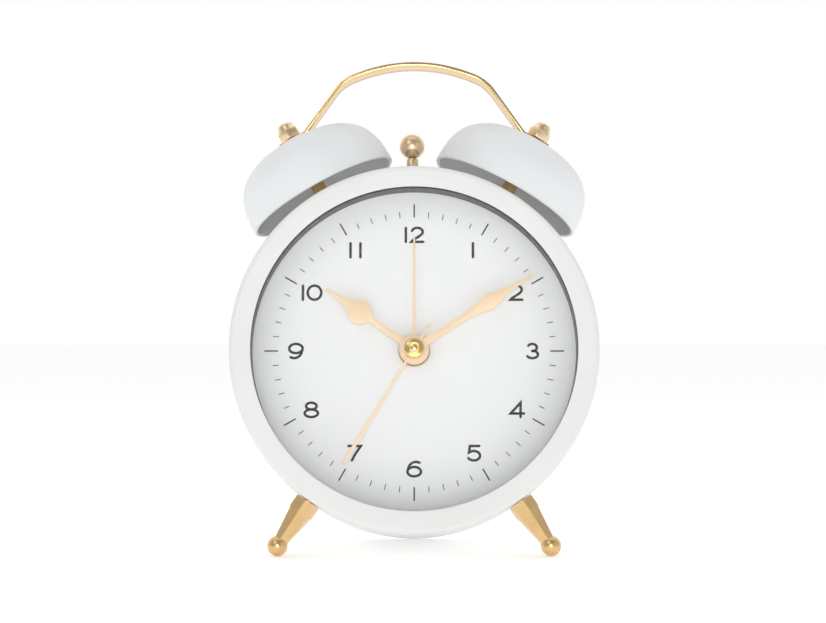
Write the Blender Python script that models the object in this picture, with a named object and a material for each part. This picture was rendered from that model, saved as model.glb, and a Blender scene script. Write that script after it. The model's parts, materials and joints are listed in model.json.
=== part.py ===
"""Twin-bell quartz alarm clock, built as separate pieces.

The clock is laid out in its own frame: X to the right, Y up the dial, Z out of the dial
towards the reader, with the origin at the centre of the dial's printed face. One empty,
clock_frame, carries that frame. It leans the clock back until the two front feet and the
lower edge of the back cover stand on the table, and puts the table at world Z = 0.
"""

import math

import bmesh
import bpy
from mathutils import Matrix, Vector

MM = 0.001
GAP = 0.30 * MM                     # clearance between pieces that touch or nest
OVERRUN = 1.0 * MM                  # how far a cutter or a fused shape runs past the face it meets

# Case: bezel, drum, glass, dial and back cover
DRUM_RADIUS = 51.0 * MM
DRUM_WALL = 1.2 * MM
BEZEL_SKIRT_WALL = 1.1 * MM
BEZEL_RADIUS = DRUM_RADIUS + GAP + BEZEL_SKIRT_WALL
BEZEL_FACE_Z = 8.9 * MM             # front of the bezel, measured from the dial
BEZEL_ROUND = 1.4 * MM              # radius of the bezel's outer front edge
BEZEL_SKIRT_Z = -3.0 * MM           # rear end of the skirt that overlaps the drum
BEZEL_SHOULDER_Z = 1.0 * MM         # where the thick ring ends and the thin skirt begins
BEZEL_BORE_RADIUS = DRUM_RADIUS - 3.0 * MM     # bore that holds the glass and the reveal ring
LIP_REACH = 1.75 * MM               # how far the lip stands in over the glass
LIP_THICKNESS = 0.5 * MM
GLASS_THICKNESS = 1.2 * MM
REVEAL_WALL = 1.5 * MM
DIAL_THICKNESS = 0.8 * MM
CASE_REAR_Z = -43.0 * MM            # rearmost edge of the back cover's rim
COVER_RIM = 1.8 * MM                # thickness of the rim that closes the drum
COVER_PANEL = 1.8 * MM              # thickness of the recessed panel
COVER_RECESS = 1.2 * MM             # how far the panel lies inside the rim
COVER_RIM_WIDTH = 4.8 * MM          # from the drum's outside to the recessed panel
COVER_SPIGOT_LENGTH = 3.7 * MM
COVER_SPIGOT_WALL = 1.5 * MM
COVER_EDGE = 0.8 * MM               # run of the slope from the rim down to the panel
COVER_CHAMFER = 0.2 * MM            # chamfer on the rim's outer edge

# Inner frame, which holds the dial and takes the back cover's screws
FRAME_WIDTH = 10.0 * MM             # from the drum's outside to the frame's opening
FRAME_THICKNESS = 2.8 * MM
FRAME_POST_INSET = 7.5 * MM         # from the drum's outside to the posts' axes
FRAME_POST_RADIUS = 3.5 * MM
FRAME_POST_ANGLES = (30.0, 150.0, 270.0)
SCREW_RADIUS = 1.2 * MM
SCREW_LENGTH = 8.0 * MM
PILOT_SPARE = 1.2 * MM              # depth of the pilot hole beyond the screw's point
SCREW_HEAD_RADIUS = 2.6 * MM
SCREW_HEAD_HEIGHT = 1.4 * MM
SCREW_HEAD_ROUND = 0.5 * MM         # height of the head's sloping shoulder
SCREW_POINT = 0.8 * MM              # length of the screw's point
SCREW_SLOT = (0.7 * MM, 0.7 * MM)   # width and depth

# Front legs
LEG_ANGLE = 34.5                    # degrees from straight down
LEG_Z = 4.5 * MM
LEG_BALL_RADIUS = 2.85 * MM
LEG_HEX_RADIUS = 3.8 * MM
LEG_COLLAR_LENGTH = 3.8 * MM        # bezel's outside to the end of the hexagonal collar
LEG_TAPER_LENGTH = 9.4 * MM
LEG_BALL_REACH = 2.0 * MM           # end of the taper to the middle of the ball foot
LEG_TIP_RADIUS = 2.1 * MM
LEG_STEP = 0.5 * MM                 # length of the step from the collar to the taper
LEG_STUD_RADIUS = 1.5 * MM
LEG_STUD_LENGTH = 3.9 * MM
LEG_TWIST = 22.0                    # degrees that the hexagon is turned on its axis

# Bells
BELL_Z = -17.0 * MM
BELL_CLEARANCE = 4.25 * MM          # drum's outside to the plane of the bell's rim
BELL_SPACING = 12.91 * MM           # gap between the bells, where the hammer swings
BELL_RADIUS = 23.1 * MM
BELL_HEIGHT = 18.55 * MM
BELL_WALL = 1.0 * MM
BELL_ROUNDNESS = 2.88               # exponent of the dome's superellipse
POST_HEX_RADIUS = 2.4 * MM
POST_STUD_RADIUS = 1.5 * MM
POST_NUT_RADIUS = 3.3 * MM
POST_NUT_HEIGHT = 2.2 * MM
WASHER_RADIUS = 4.5 * MM
WASHER_THICKNESS = 0.8 * MM
FINIAL_HEX_RADIUS = 3.35 * MM
FINIAL_HEX_HEIGHT = 2.7 * MM
FINIAL_TOP_RADIUS = 2.35 * MM
FINIAL_HEIGHT = 5.2 * MM
FINIAL_DOME_HEIGHT = 1.1 * MM
FINIAL_THREAD_DEPTH = 3.4 * MM

# Carrying handle: one bent strap, held under the finial nuts
STRAP_WIDTH = 7.0 * MM
STRAP_THICKNESS = 1.0 * MM
STRAP_CROWN_RADIUS = 45.0 * MM
STRAP_CROWN_RISE = 15.1 * MM        # bell's crown to the outer face at the middle of the handle
STRAP_CROWN_SLOPE = 21.0            # degrees at the crown's ends
STRAP_SHOULDER_RADIUS = 14.0 * MM
STRAP_LEG_SLOPE = 55.2              # degrees from horizontal
STRAP_BEND_RADIUS = 2.0 * MM
STRAP_TAB_INNER = 3.9 * MM          # from the bell's axis to the bend
STRAP_TAB_OUTER = 4.2 * MM          # from the bell's axis to the strap's end

# Striker: a hammer that swings between the bells
HAMMER_PIVOT_DEPTH = 16.0 * MM      # drum's outside down to the hammer's pivot
HAMMER_BALL_RADIUS = 3.7 * MM
HAMMER_BALL_HEIGHT = 12.8 * MM      # drum's outside up to the middle of the ball
HAMMER_ARM_RADIUS = 0.9 * MM
HAMMER_NECK_RADIUS = 1.75 * MM
HAMMER_NECK_LENGTH = 5.2 * MM
HAMMER_HUB_RADIUS = 3.0 * MM
HAMMER_HUB_LENGTH = 2.8 * MM
HAMMER_SHAFT_RADIUS = 1.0 * MM
HAMMER_REST = 1.2                   # degrees towards the left bell
ACTUATOR_RADIUS = 8.0 * MM
ACTUATOR_FRONT_Z = -21.2 * MM
ACTUATOR_LENGTH = 12.0 * MM
ACTUATOR_WALL = 2.0 * MM            # closed end of the can behind the shaft
SHAFT_PROUD = 0.6 * MM              # how far the shaft stands out of the hammer's hub
BRACKET_THICKNESS = 1.0 * MM
BRACKET_HALF_WIDTH = 19.0 * MM
BRACKET_LEG_WIDTH = 5.0 * MM
BRACKET_BELOW = 5.5 * MM            # bracket's reach below and above the hammer's pivot
BRACKET_ABOVE = 6.0 * MM

# Movement
MOVEMENT_HALF_WIDTH = 29.0 * MM
MOVEMENT_HALF_HEIGHT = 27.0 * MM
MOVEMENT_WALL = 1.6 * MM
MOVEMENT_DEPTH = 18.0 * MM
MOVEMENT_COVER = 1.6 * MM
BUSH_RADIUS = 3.6 * MM
BUSH_WALL = 0.55 * MM
BUSH_TOP_Z = 1.6 * MM
DIAL_NUT_RADIUS = 4.5 * MM
DIAL_NUT_HEIGHT = 1.0 * MM
TUBE_WALL = 0.42 * MM               # wall of the nested hand tubes
SECOND_PIN_RADIUS = 0.55 * MM
MOVEMENT_CORNER = 3.0 * MM
BOARD_HALF_SIZE = (11.0 * MM, 9.0 * MM)
BOARD_THICKNESS = 1.0 * MM
BOARD_STANDOFF = 1.6 * MM
BOARD_Y = 15.5 * MM
CRYSTAL_RADIUS = 1.5 * MM
CRYSTAL_LENGTH = 6.0 * MM
CRYSTAL_Y = 20.0 * MM
CHIP_HALF_WIDTH = 3.0 * MM
CHIP_THICKNESS = 1.0 * MM
CHIP_Y = 13.0 * MM
STATOR_HALF_SIZE = (6.0 * MM, 9.0 * MM)
STATOR_THICKNESS = 1.0 * MM
STATOR_DROP = 5.0 * MM              # rotor's axis down to the stator's middle
WINDOW_HALF_SIZE = (1.6 * MM, 3.4 * MM)
COIL_HALF_SIZE = (3.6 * MM, 4.0 * MM)
COIL_HEIGHT = 4.0 * MM
COIL_DROP = 10.0 * MM               # rotor's axis down to the coil's middle

# Hands: height of each hand's rear face above the dial, thickness and length
HAND_THICKNESS = 0.5 * MM
ALARM_HAND_Z = 1.9 * MM
HOUR_HAND_Z = 2.8 * MM
MINUTE_HAND_Z = 3.7 * MM
SECOND_HAND_Z = 4.6 * MM
HUB_CAP_Z = 5.2 * MM
HUB_CAP_RADIUS = 2.95 * MM
HUB_CAP_HEIGHT = 1.4 * MM
HUB_CAP_BORE = 1.0 * MM             # depth of the blind bore that takes the second pin
ALARM_COLLET_RADIUS = 4.2 * MM
HOUR_COLLET_RADIUS = 4.3 * MM
MINUTE_COLLET_RADIUS = 3.9 * MM
SECOND_COLLET_RADIUS = 2.2 * MM
ALARM_HAND_LENGTH = 33.0 * MM
HOUR_HAND_LENGTH = 30.6 * MM
MINUTE_HAND_LENGTH = 40.0 * MM
SECOND_HAND_LENGTH = 38.5 * MM
SECOND_HAND_TAIL = 8.5 * MM
ALARM_NEEDLE_HALF_WIDTHS = (0.5 * MM, 0.34 * MM)     # root and tip
SECOND_NEEDLE_HALF_WIDTHS = (0.42 * MM, 0.32 * MM, 0.55 * MM, 0.46 * MM)    # tail, waist, belly, tip
TIME_HOUR_ANGLE = 304.8             # degrees clockwise from twelve, at 10:09:35
TIME_MINUTE_ANGLE = 57.6
TIME_SECOND_ANGLE = 211.5
TIME_ALARM_ANGLE = 0.0

# Wheels: module, tooth counts and the height of each wheel's rear face
ADDENDUM = 0.72                     # tooth height outside the pitch circle, in modules
DEDENDUM = 1.10                     # tooth depth inside the pitch circle, in modules
WHEEL_THICKNESS = 1.0 * MM
ALARM_MODULE = 0.5 * MM
ALARM_WHEEL_TEETH = 40
ALARM_PINION_TEETH = 32
ALARM_WHEEL_Z = -4.2 * MM
MOTION_MODULE = 0.5 * MM
CANNON_TEETH = 12
MOTION_WHEEL_TEETH = 36
SETTING_TEETH = 12
CANNON_Z = -8.6 * MM
MOTION_PINION_TEETH = 10
HOUR_WHEEL_TEETH = 40
HOUR_WHEEL_Z = -6.4 * MM
STEP_MODULE = 0.3 * MM
SECOND_WHEEL_TEETH = 60
STEP_PINION_TEETH = 10
STEP_WHEEL_TEETH = 40
ROTOR_TEETH = 8
SECOND_WHEEL_Z = -11.4 * MM
STEP_WHEEL_Z = -13.6 * MM
STEP_DIRECTION = -52.0              # degrees, dial centre to the step wheel
ROTOR_DIRECTION = -15.0             # degrees, step wheel to the rotor
ROTOR_MAGNET_RADIUS = 3.0 * MM
ROTOR_MAGNET_LENGTH = 2.2 * MM
ARBOR_RADIUS = 0.8 * MM
ARBOR_END = 0.8 * MM                # how far an arbor stands out behind its wheel
PINION_LAP = 0.2                    # how far a pinion runs past its mate, in wheel thicknesses

# Set knobs on the back
KNOB_RADIUS = 7.0 * MM
KNOB_HEIGHT = 6.0 * MM
KNOB_SHAFT_RADIUS = 1.9 * MM
KNOB_RIBS = 16
KNOB_RIB_DEPTH = 0.35 * MM
KNOB_RIB_SHARES = (0.12, 0.30)      # half widths of a rib's top and foot, in rib pitches
KNOB_CROWN_HEIGHT = 0.8 * MM        # plain disc behind the ribs
KNOB_CROWN_INSET = 0.5 * MM

# Alarm on/off slide switch
SWITCH_Y = 17.0 * MM
SWITCH_TRAVEL = 4.0 * MM
SWITCH_CAP = (6.0 * MM, 4.0 * MM)
SWITCH_STEM = (3.0 * MM, 2.0 * MM)
SWITCH_CAP_HEIGHT = 1.8 * MM
SWITCH_CAP_CORNER = 0.6 * MM
SWITCH_STEM_REACH = 2.0 * MM        # how far the stem stands inside the panel
SWITCH_BODY_HALF_SIZE = (7.5 * MM, 3.5 * MM)
SWITCH_BODY_DEPTH = 4.0 * MM

# Battery, its tray and its door
BATTERY_RADIUS = 7.1 * MM
BATTERY_LENGTH = 49.2 * MM
BATTERY_NUB_RADIUS = 2.6 * MM
BATTERY_NUB_LENGTH = 1.2 * MM
BATTERY_CHAMFER = 0.4 * MM
TRAY_Y = -25.0 * MM
TRAY_WALL = 1.0 * MM
TRAY_END_ROOM = 2.2 * MM            # room for a contact at each end of the battery
DOOR_THICKNESS = 1.5 * MM
DOOR_MARGIN = 1.0 * MM              # how far the doorway stands outside the tray's inside
CONTACT_THICKNESS = 0.4 * MM
CONTACT_PLATE_RADIUS = 5.0 * MM
CONTACT_SPRING_RADIUS = 3.0 * MM
DOOR_GRIP_HALF_SIZE = (5.0 * MM, 1.0 * MM)
DOOR_GRIP_DEPTH = 0.5 * MM
DOOR_GRIP_INSET = 2.5 * MM          # from the door's free edge to the middle of the grip

# Rounding of turned pieces
STEPS_LARGE = 40
STEPS_BELL = 28
STEPS_SMALL = 12
STEPS_COLLET = 20
BEZEL_ROUND_STEPS = 3


# ---------------------------------------------------------------- derived places

OPENING_RADIUS = BEZEL_BORE_RADIUS - LIP_REACH
COVER_PANEL_RADIUS = DRUM_RADIUS - COVER_RIM_WIDTH
FRAME_INNER_RADIUS = DRUM_RADIUS - FRAME_WIDTH
FRAME_POST_CIRCLE = DRUM_RADIUS - FRAME_POST_INSET
LEG_COLLAR_END = BEZEL_RADIUS + LEG_COLLAR_LENGTH
LEG_TAPER_END = LEG_COLLAR_END + LEG_TAPER_LENGTH
LEG_BALL_DISTANCE = LEG_TAPER_END + LEG_BALL_REACH
LIP_REAR_Z = BEZEL_FACE_Z - LIP_THICKNESS
GLASS_FRONT_Z = LIP_REAR_Z - GAP
GLASS_REAR_Z = GLASS_FRONT_Z - GLASS_THICKNESS
REVEAL_FRONT_Z = GLASS_REAR_Z - GAP
SEAT_RADIUS = BEZEL_BORE_RADIUS - GAP          # outside of the glass, reveal ring and dial
SKIRT_BORE_RADIUS = DRUM_RADIUS + GAP
DRUM_BORE_RADIUS = DRUM_RADIUS - DRUM_WALL
DRUM_FRONT_Z = BEZEL_SHOULDER_Z - GAP
COVER_FLANGE_Z = CASE_REAR_Z + COVER_RIM
DRUM_REAR_Z = COVER_FLANGE_Z + GAP
PANEL_REAR_Z = CASE_REAR_Z + COVER_RECESS
PANEL_FRONT_Z = PANEL_REAR_Z + COVER_PANEL
SPIGOT_RADIUS = DRUM_BORE_RADIUS - GAP
BEHIND_DIAL_Z = -DIAL_THICKNESS - GAP
FRAME_REAR_Z = BEHIND_DIAL_Z - FRAME_THICKNESS
FRAME_POST_END_Z = PANEL_FRONT_Z + GAP
MOVEMENT_REAR_Z = BEHIND_DIAL_Z - MOVEMENT_DEPTH
MOVEMENT_INSIDE_Z = BEHIND_DIAL_Z - MOVEMENT_WALL
BUSH_BORE_RADIUS = BUSH_RADIUS - BUSH_WALL
ALARM_TUBE_RADIUS = BUSH_BORE_RADIUS - GAP
HOUR_TUBE_RADIUS = ALARM_TUBE_RADIUS - TUBE_WALL - GAP
MINUTE_TUBE_RADIUS = HOUR_TUBE_RADIUS - TUBE_WALL - GAP
BELL_RIM_DISTANCE = DRUM_RADIUS + BELL_CLEARANCE
BELL_APEX = BELL_RIM_DISTANCE + BELL_HEIGHT
STRAP_SEAT = BELL_APEX + GAP
FINIAL_SEAT = STRAP_SEAT + STRAP_THICKNESS + GAP
STRAP_CROWN_TOP = BELL_APEX + STRAP_CROWN_RISE
HAMMER_PIVOT_Y = DRUM_RADIUS - HAMMER_PIVOT_DEPTH
HAMMER_BALL_Y = DRUM_RADIUS + HAMMER_BALL_HEIGHT
BRACKET_LOW_Y = HAMMER_PIVOT_Y - BRACKET_BELOW
BRACKET_HIGH_Y = HAMMER_PIVOT_Y + BRACKET_ABOVE
TRAY_HALF_LENGTH = BATTERY_LENGTH / 2 + TRAY_END_ROOM + TRAY_WALL
TRAY_HALF_HEIGHT = BATTERY_RADIUS + GAP + TRAY_WALL
TRAY_FLOOR_Z = PANEL_FRONT_Z + GAP + 2 * BATTERY_RADIUS + 2 * GAP + TRAY_WALL
BATTERY_Z = TRAY_FLOOR_Z - TRAY_WALL - GAP - BATTERY_RADIUS
DOORWAY_HALF_LENGTH = TRAY_HALF_LENGTH - TRAY_WALL + DOOR_MARGIN
DOORWAY_HALF_HEIGHT = TRAY_HALF_HEIGHT - TRAY_WALL + DOOR_MARGIN


def pitch_radius(module, teeth):
    """Pitch radius of a wheel."""
    return module * teeth / 2


def polar(radius, degrees, origin=(0.0, 0.0)):
    """Point at a distance and direction from another, on the dial's plane."""
    turn = math.radians(degrees)
    return origin[0] + radius * math.cos(turn), origin[1] + radius * math.sin(turn)


def direction(origin, point):
    """Direction in degrees from one point to another."""
    return math.degrees(math.atan2(point[1] - origin[1], point[0] - origin[0]))


def bell_angle():
    """Degrees from straight up at which the two bells' rims stand their spacing apart."""
    reach = math.hypot(BELL_RIM_DISTANCE, BELL_RADIUS)
    return math.degrees(math.atan2(BELL_RADIUS, BELL_RIM_DISTANCE) + math.asin(BELL_SPACING / 2 / reach))


def hammer_swing():
    """Degrees each side at which the ball comes up to a bell."""
    travel = BELL_SPACING / 2 - HAMMER_BALL_RADIUS - GAP
    return math.degrees(math.asin(travel / (HAMMER_BALL_Y - HAMMER_PIVOT_Y)))


CENTRE = (0.0, 0.0)
BELL_ANGLE = bell_angle()
HAMMER_SWING = hammer_swing()
MOTION_DISTANCE = pitch_radius(MOTION_MODULE, CANNON_TEETH + MOTION_WHEEL_TEETH)
SETTING_DISTANCE = pitch_radius(MOTION_MODULE, SETTING_TEETH + MOTION_WHEEL_TEETH)
HOUR_MODULE = 2 * MOTION_DISTANCE / (MOTION_PINION_TEETH + HOUR_WHEEL_TEETH)
ALARM_DISTANCE = pitch_radius(ALARM_MODULE, ALARM_WHEEL_TEETH + ALARM_PINION_TEETH)
KNOB_DROP = -10.5                   # degrees below the level of the hands
ALARM_KNOB = polar(ALARM_DISTANCE, KNOB_DROP)
TIME_KNOB = (-ALARM_KNOB[0], ALARM_KNOB[1])
STEP_DISTANCE = pitch_radius(STEP_MODULE, SECOND_WHEEL_TEETH + STEP_PINION_TEETH)
STEP_AXIS = polar(STEP_DISTANCE, STEP_DIRECTION)
ROTOR_AXIS = polar(pitch_radius(STEP_MODULE, STEP_WHEEL_TEETH + ROTOR_TEETH), ROTOR_DIRECTION, STEP_AXIS)


def motion_axis():
    """Axis that is in mesh with both the cannon pinion and the setting pinion."""
    span = math.hypot(*TIME_KNOB)
    along = (MOTION_DISTANCE ** 2 - SETTING_DISTANCE ** 2 + span ** 2) / (2 * span)
    aside = math.sqrt(MOTION_DISTANCE ** 2 - along ** 2)
    ux, uy = TIME_KNOB[0] / span, TIME_KNOB[1] / span
    return along * ux + aside * uy, along * uy - aside * ux


MOTION_AXIS = motion_axis()


def lean_angle():
    """Angle at which the ball feet and the back cover's lower edge touch one plane."""
    foot_y = -LEG_BALL_DISTANCE * math.cos(math.radians(LEG_ANGLE))
    low, high = 0.0, math.radians(30.0)
    for _ in range(60):
        middle = (low + high) / 2
        rear = -DRUM_RADIUS * math.cos(middle) + CASE_REAR_Z * math.sin(middle)
        foot = foot_y * math.cos(middle) + LEG_Z * math.sin(middle) - LEG_BALL_RADIUS
        if rear < foot:
            high = middle
        else:
            low = middle
    return (low + high) / 2


# ---------------------------------------------------------------- shape helpers

def lathe(profile, steps=STEPS_LARGE):
    """Turn a closed outline, or one that starts and ends on the axis, about Z."""
    bm = bmesh.new()
    verts = [bm.verts.new((radius, 0.0, height)) for radius, height in profile]
    edges = [bm.edges.new(pair) for pair in zip(verts, verts[1:])]
    if profile[0][0] > 0.0:
        edges.append(bm.edges.new((verts[-1], verts[0])))
    bmesh.ops.spin(bm, geom=verts + edges, cent=(0, 0, 0), axis=(0, 0, 1),
                   angle=math.tau, steps=steps, use_merge=True, use_duplicate=False)
    bmesh.ops.remove_doubles(bm, verts=bm.verts, dist=1e-7)
    bmesh.ops.recalc_face_normals(bm, faces=bm.faces)
    return bm


def prism(outline, low, high):
    """Extrude a flat outline along Z."""
    bm = bmesh.new()
    face = bm.faces.new([bm.verts.new((x, y, low)) for x, y in outline])
    grown = bmesh.ops.extrude_face_region(bm, geom=[face])
    top = [v for v in grown["geom"] if isinstance(v, bmesh.types.BMVert)]
    bmesh.ops.translate(bm, verts=top, vec=(0, 0, high - low))
    bmesh.ops.recalc_face_normals(bm, faces=bm.faces)
    return bm


def rod(radius, low, high, steps=STEPS_SMALL, centre=CENTRE):
    """Round bar along Z."""
    return prism([polar(radius, 360.0 * i / steps, centre) for i in range(steps)], low, high)


def block(half_x, half_y, low, high, centre=CENTRE):
    """Rectangular block."""
    cx, cy = centre
    corners = ((-half_x, -half_y), (half_x, -half_y), (half_x, half_y), (-half_x, half_y))
    return prism([(cx + x, cy + y) for x, y in corners], low, high)


def rounded_block(half_x, half_y, corner, low, high, centre=CENTRE, steps=4):
    """Block with rounded upright corners."""
    outline = []
    for quarter, (sx, sy) in enumerate(((1, 1), (-1, 1), (-1, -1), (1, -1))):
        middle = (centre[0] + sx * (half_x - corner), centre[1] + sy * (half_y - corner))
        for i in range(steps + 1):
            outline.append(polar(corner, 90.0 * (quarter + i / steps), middle))
    return prism(outline, low, high)


def hexagon(radius, twist=0.0):
    """Corners of a hexagon."""
    return [polar(radius, twist + 60.0 * i) for i in range(6)]


def turned(bm, matrix):
    """Move a shape by a matrix."""
    bmesh.ops.transform(bm, matrix=matrix, verts=bm.verts)
    return bm


def as_object(bm, name="shape"):
    """Link a shape to the scene as a bare object."""
    mesh = bpy.data.meshes.new(name)
    bm.to_mesh(mesh)
    bm.free()
    obj = bpy.data.objects.new(name, mesh)
    bpy.context.collection.objects.link(obj)
    return obj


def boolean(base, tool, operation):
    """Join or cut one shape with another, and give the result as a new shape."""
    base_object, tool_object = as_object(base), as_object(tool)
    modifier = base_object.modifiers.new("boolean", "BOOLEAN")
    modifier.operation = operation
    modifier.solver = "EXACT"
    modifier.object = tool_object
    bpy.context.view_layer.update()
    evaluated = base_object.evaluated_get(bpy.context.evaluated_depsgraph_get())
    bm = bmesh.new()
    bm.from_mesh(evaluated.to_mesh())
    evaluated.to_mesh_clear()
    for obj in (base_object, tool_object):
        mesh = obj.data
        bpy.data.objects.remove(obj)
        bpy.data.meshes.remove(mesh)
    bmesh.ops.remove_doubles(bm, verts=bm.verts, dist=1e-7)
    return bm


def cut(base, *tools):
    """Take shapes away from a shape."""
    for tool in tools:
        base = boolean(base, tool, "DIFFERENCE")
    return base


def fuse(base, *tools):
    """Join shapes into one body."""
    for tool in tools:
        base = boolean(base, tool, "UNION")
    return base


def corner_reaches(corners):
    """Distance along each side that a corner's rounding takes, cut down where two would meet."""
    points = [Vector(corner[:2]) for corner in corners]
    reaches = [0.0] * len(corners)
    for i in range(1, len(corners) - 1):
        turn = (points[i - 1] - points[i]).angle(points[i + 1] - points[i])
        reaches[i] = corners[i][2] / math.tan(turn / 2)
    for i, (start, end) in enumerate(zip(points, points[1:])):
        room = (end - start).length * 0.99
        wanted = reaches[i] + reaches[i + 1]
        if wanted > room:
            reaches[i] *= room / wanted
            reaches[i + 1] *= room / wanted
    return reaches


def fillet_path(corners):
    """Round the inner corners of a polyline given as (x, y, radius)."""
    path = [Vector(corners[0][:2])]
    reaches = corner_reaches(corners)
    for before, corner, after, reach in zip(corners, corners[1:], corners[2:], reaches[1:]):
        point = Vector(corner[:2])
        to_before = (Vector(before[:2]) - point).normalized()
        to_after = (Vector(after[:2]) - point).normalized()
        half = to_before.angle(to_after) / 2
        middle = point + (to_before + to_after).normalized() * (reach / math.cos(half))
        first = point + to_before * reach - middle
        last = point + to_after * reach - middle
        sweep = math.pi - 2 * half
        sign = 1.0 if first.x * last.y - first.y * last.x > 0 else -1.0
        pieces = max(2, round(math.degrees(sweep) / 7.5))
        for i in range(pieces + 1):
            turn = Matrix.Rotation(sign * sweep * i / pieces, 2)
            path.append(middle + turn @ first)
    path.append(Vector(corners[-1][:2]))
    return path


def offset_path(path, distance):
    """Shift a polyline sideways, to the right of its direction of travel."""
    shifted = []
    for i, point in enumerate(path):
        before = path[max(i - 1, 0)]
        after = path[min(i + 1, len(path) - 1)]
        inward = [(b - a).normalized() for a, b in ((before, point), (point, after)) if (b - a).length > 0]
        normals = [Vector((d.y, -d.x)) for d in inward]
        mean = sum(normals, Vector((0, 0))).normalized()
        shifted.append(point + mean * (distance / mean.dot(normals[0])))
    return shifted


def gear(module, teeth, low, high, phase=0.0):
    """Wheel with pointed teeth, one of them centred at the phase angle, in degrees."""
    radius = pitch_radius(module, teeth)
    pitch = 360.0 / teeth
    outline = []
    for i in range(teeth):
        outline.append(polar(radius + ADDENDUM * module, phase + pitch * i))
        outline.append(polar(radius - DEDENDUM * module, phase + pitch * (i + 0.5)))
    return prism(outline, low, high)


def meshing_phase(teeth, phase, mate_teeth, towards):
    """Phase that puts a mating wheel in mesh with a wheel, in the direction of the mate."""
    progress = (teeth * (towards - phase)) % 360.0
    return (towards + 180.0 - (180.0 - progress) / mate_teeth) % 360.0


# ---------------------------------------------------------------- finishes and placing

FINISHES = {
    "white_enamel": ((0.78, 0.80, 0.80, 1.0), 0.45, 0.0),
    "white_plastic": ((0.76, 0.77, 0.77, 1.0), 0.55, 0.0),
    "bell_enamel": ((0.80, 0.82, 0.83, 1.0), 0.40, 0.0),
    "dial_paint": ((0.82, 0.82, 0.82, 1.0), 0.60, 0.0),
    "clear_glass": ((0.90, 0.95, 0.95, 0.25), 0.03, 0.0),
    "dark_plastic": ((0.05, 0.04, 0.04, 1.0), 0.30, 0.0),
    "grey_plastic": ((0.30, 0.31, 0.32, 1.0), 0.50, 0.0),
    "brushed_gold": ((0.79, 0.56, 0.27, 1.0), 0.32, 1.0),
    "polished_gold": ((0.86, 0.66, 0.30, 1.0), 0.12, 1.0),
    "hand_gold": ((0.87, 0.72, 0.48, 1.0), 0.50, 0.0),
    "steel": ((0.60, 0.61, 0.62, 1.0), 0.30, 1.0),
    "brass": ((0.76, 0.58, 0.25, 1.0), 0.30, 1.0),
    "copper": ((0.72, 0.33, 0.16, 1.0), 0.35, 1.0),
    "nickel": ((0.66, 0.64, 0.60, 1.0), 0.25, 1.0),
    "nylon": ((0.75, 0.74, 0.68, 1.0), 0.50, 0.0),
    "circuit_green": ((0.05, 0.25, 0.11, 1.0), 0.50, 0.0),
    "battery_wrap": ((0.10, 0.10, 0.11, 1.0), 0.35, 0.2),
    "felt": ((0.12, 0.12, 0.12, 1.0), 0.90, 0.0),
}


def material(node, finish):
    """Material of one piece."""
    colour, roughness, metallic = FINISHES[finish]
    made = bpy.data.materials.new(f"{node}_{finish}")
    made.use_nodes = True
    shader = made.node_tree.nodes["Principled BSDF"]
    shader.inputs["Base Color"].default_value = colour
    shader.inputs["Roughness"].default_value = roughness
    shader.inputs["Metallic"].default_value = metallic
    shader.inputs["Alpha"].default_value = colour[3]
    made.diffuse_color = colour
    return made


def empty(name, parent=None, location=(0, 0, 0), axes=None, spin=0.0):
    """Empty that holds pieces: axes gives its X, Y and Z directions, spin turns it about Z."""
    obj = bpy.data.objects.new(name, None)
    obj.empty_display_size = 0.01
    bpy.context.collection.objects.link(obj)
    obj.parent = parent
    turn = Matrix.Identity(3) if axes is None else Matrix(axes).transposed()
    turn = turn @ Matrix.Rotation(math.radians(spin), 3, "Z")
    obj.location = location
    obj.rotation_euler = turn.to_euler()
    return obj


def piece(name, bm, finish, parent, location=(0, 0, 0), spin=0.0):
    """Named piece of the clock, shaded smooth between its sharp edges."""
    obj = as_object(bm, name)
    obj.parent = parent
    obj.location = location
    obj.rotation_euler = (0.0, 0.0, math.radians(spin))
    obj.data.shade_smooth()
    obj.data.set_sharp_from_angle(angle=math.radians(35.0))
    obj.data.materials.append(material(name, finish))
    return obj


def radial_directions(clockwise):
    """X, Y and Z directions of a radial axis: sideways, to the front and outwards."""
    turn = math.radians(clockwise)
    out = (math.sin(turn), math.cos(turn), 0.0)
    side = (-math.cos(turn), math.sin(turn), 0.0)
    return side, (0.0, 0.0, 1.0), out


def radial_frame(clockwise, z):
    """Matrix that lays a shape made along +Z along a radial axis of the clock."""
    return Matrix.Translation((0.0, 0.0, z)) @ Matrix(radial_directions(clockwise)).transposed().to_4x4()


def radial_axis(name, parent, clockwise, z):
    """Empty whose Z runs outwards from the dial's axis and whose Y runs to the front."""
    return empty(name, parent, (0.0, 0.0, z), radial_directions(clockwise))


def along_radial(bm, clockwise, z):
    """Turn a shape made along +Z so that it lies along a radial axis of the clock."""
    return turned(bm, radial_frame(clockwise, z))


# ---------------------------------------------------------------- case

def bezel_section():
    """Section of the bezel as radius and height, used for the ring and for seats on it."""
    edge = [(BEZEL_RADIUS, BEZEL_SKIRT_Z)]
    middle = (BEZEL_RADIUS - BEZEL_ROUND, BEZEL_FACE_Z - BEZEL_ROUND)
    for i in range(BEZEL_ROUND_STEPS + 1):
        edge.append(polar(BEZEL_ROUND, 90.0 * i / BEZEL_ROUND_STEPS, middle))
    soft = LIP_THICKNESS / 2
    edge += [(OPENING_RADIUS + soft, BEZEL_FACE_Z), (OPENING_RADIUS, BEZEL_FACE_Z - soft),
             (OPENING_RADIUS, LIP_REAR_Z), (BEZEL_BORE_RADIUS, LIP_REAR_Z),
             (BEZEL_BORE_RADIUS, BEZEL_SHOULDER_Z), (SKIRT_BORE_RADIUS, BEZEL_SHOULDER_Z),
             (SKIRT_BORE_RADIUS, BEZEL_SKIRT_Z)]
    return edge


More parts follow.
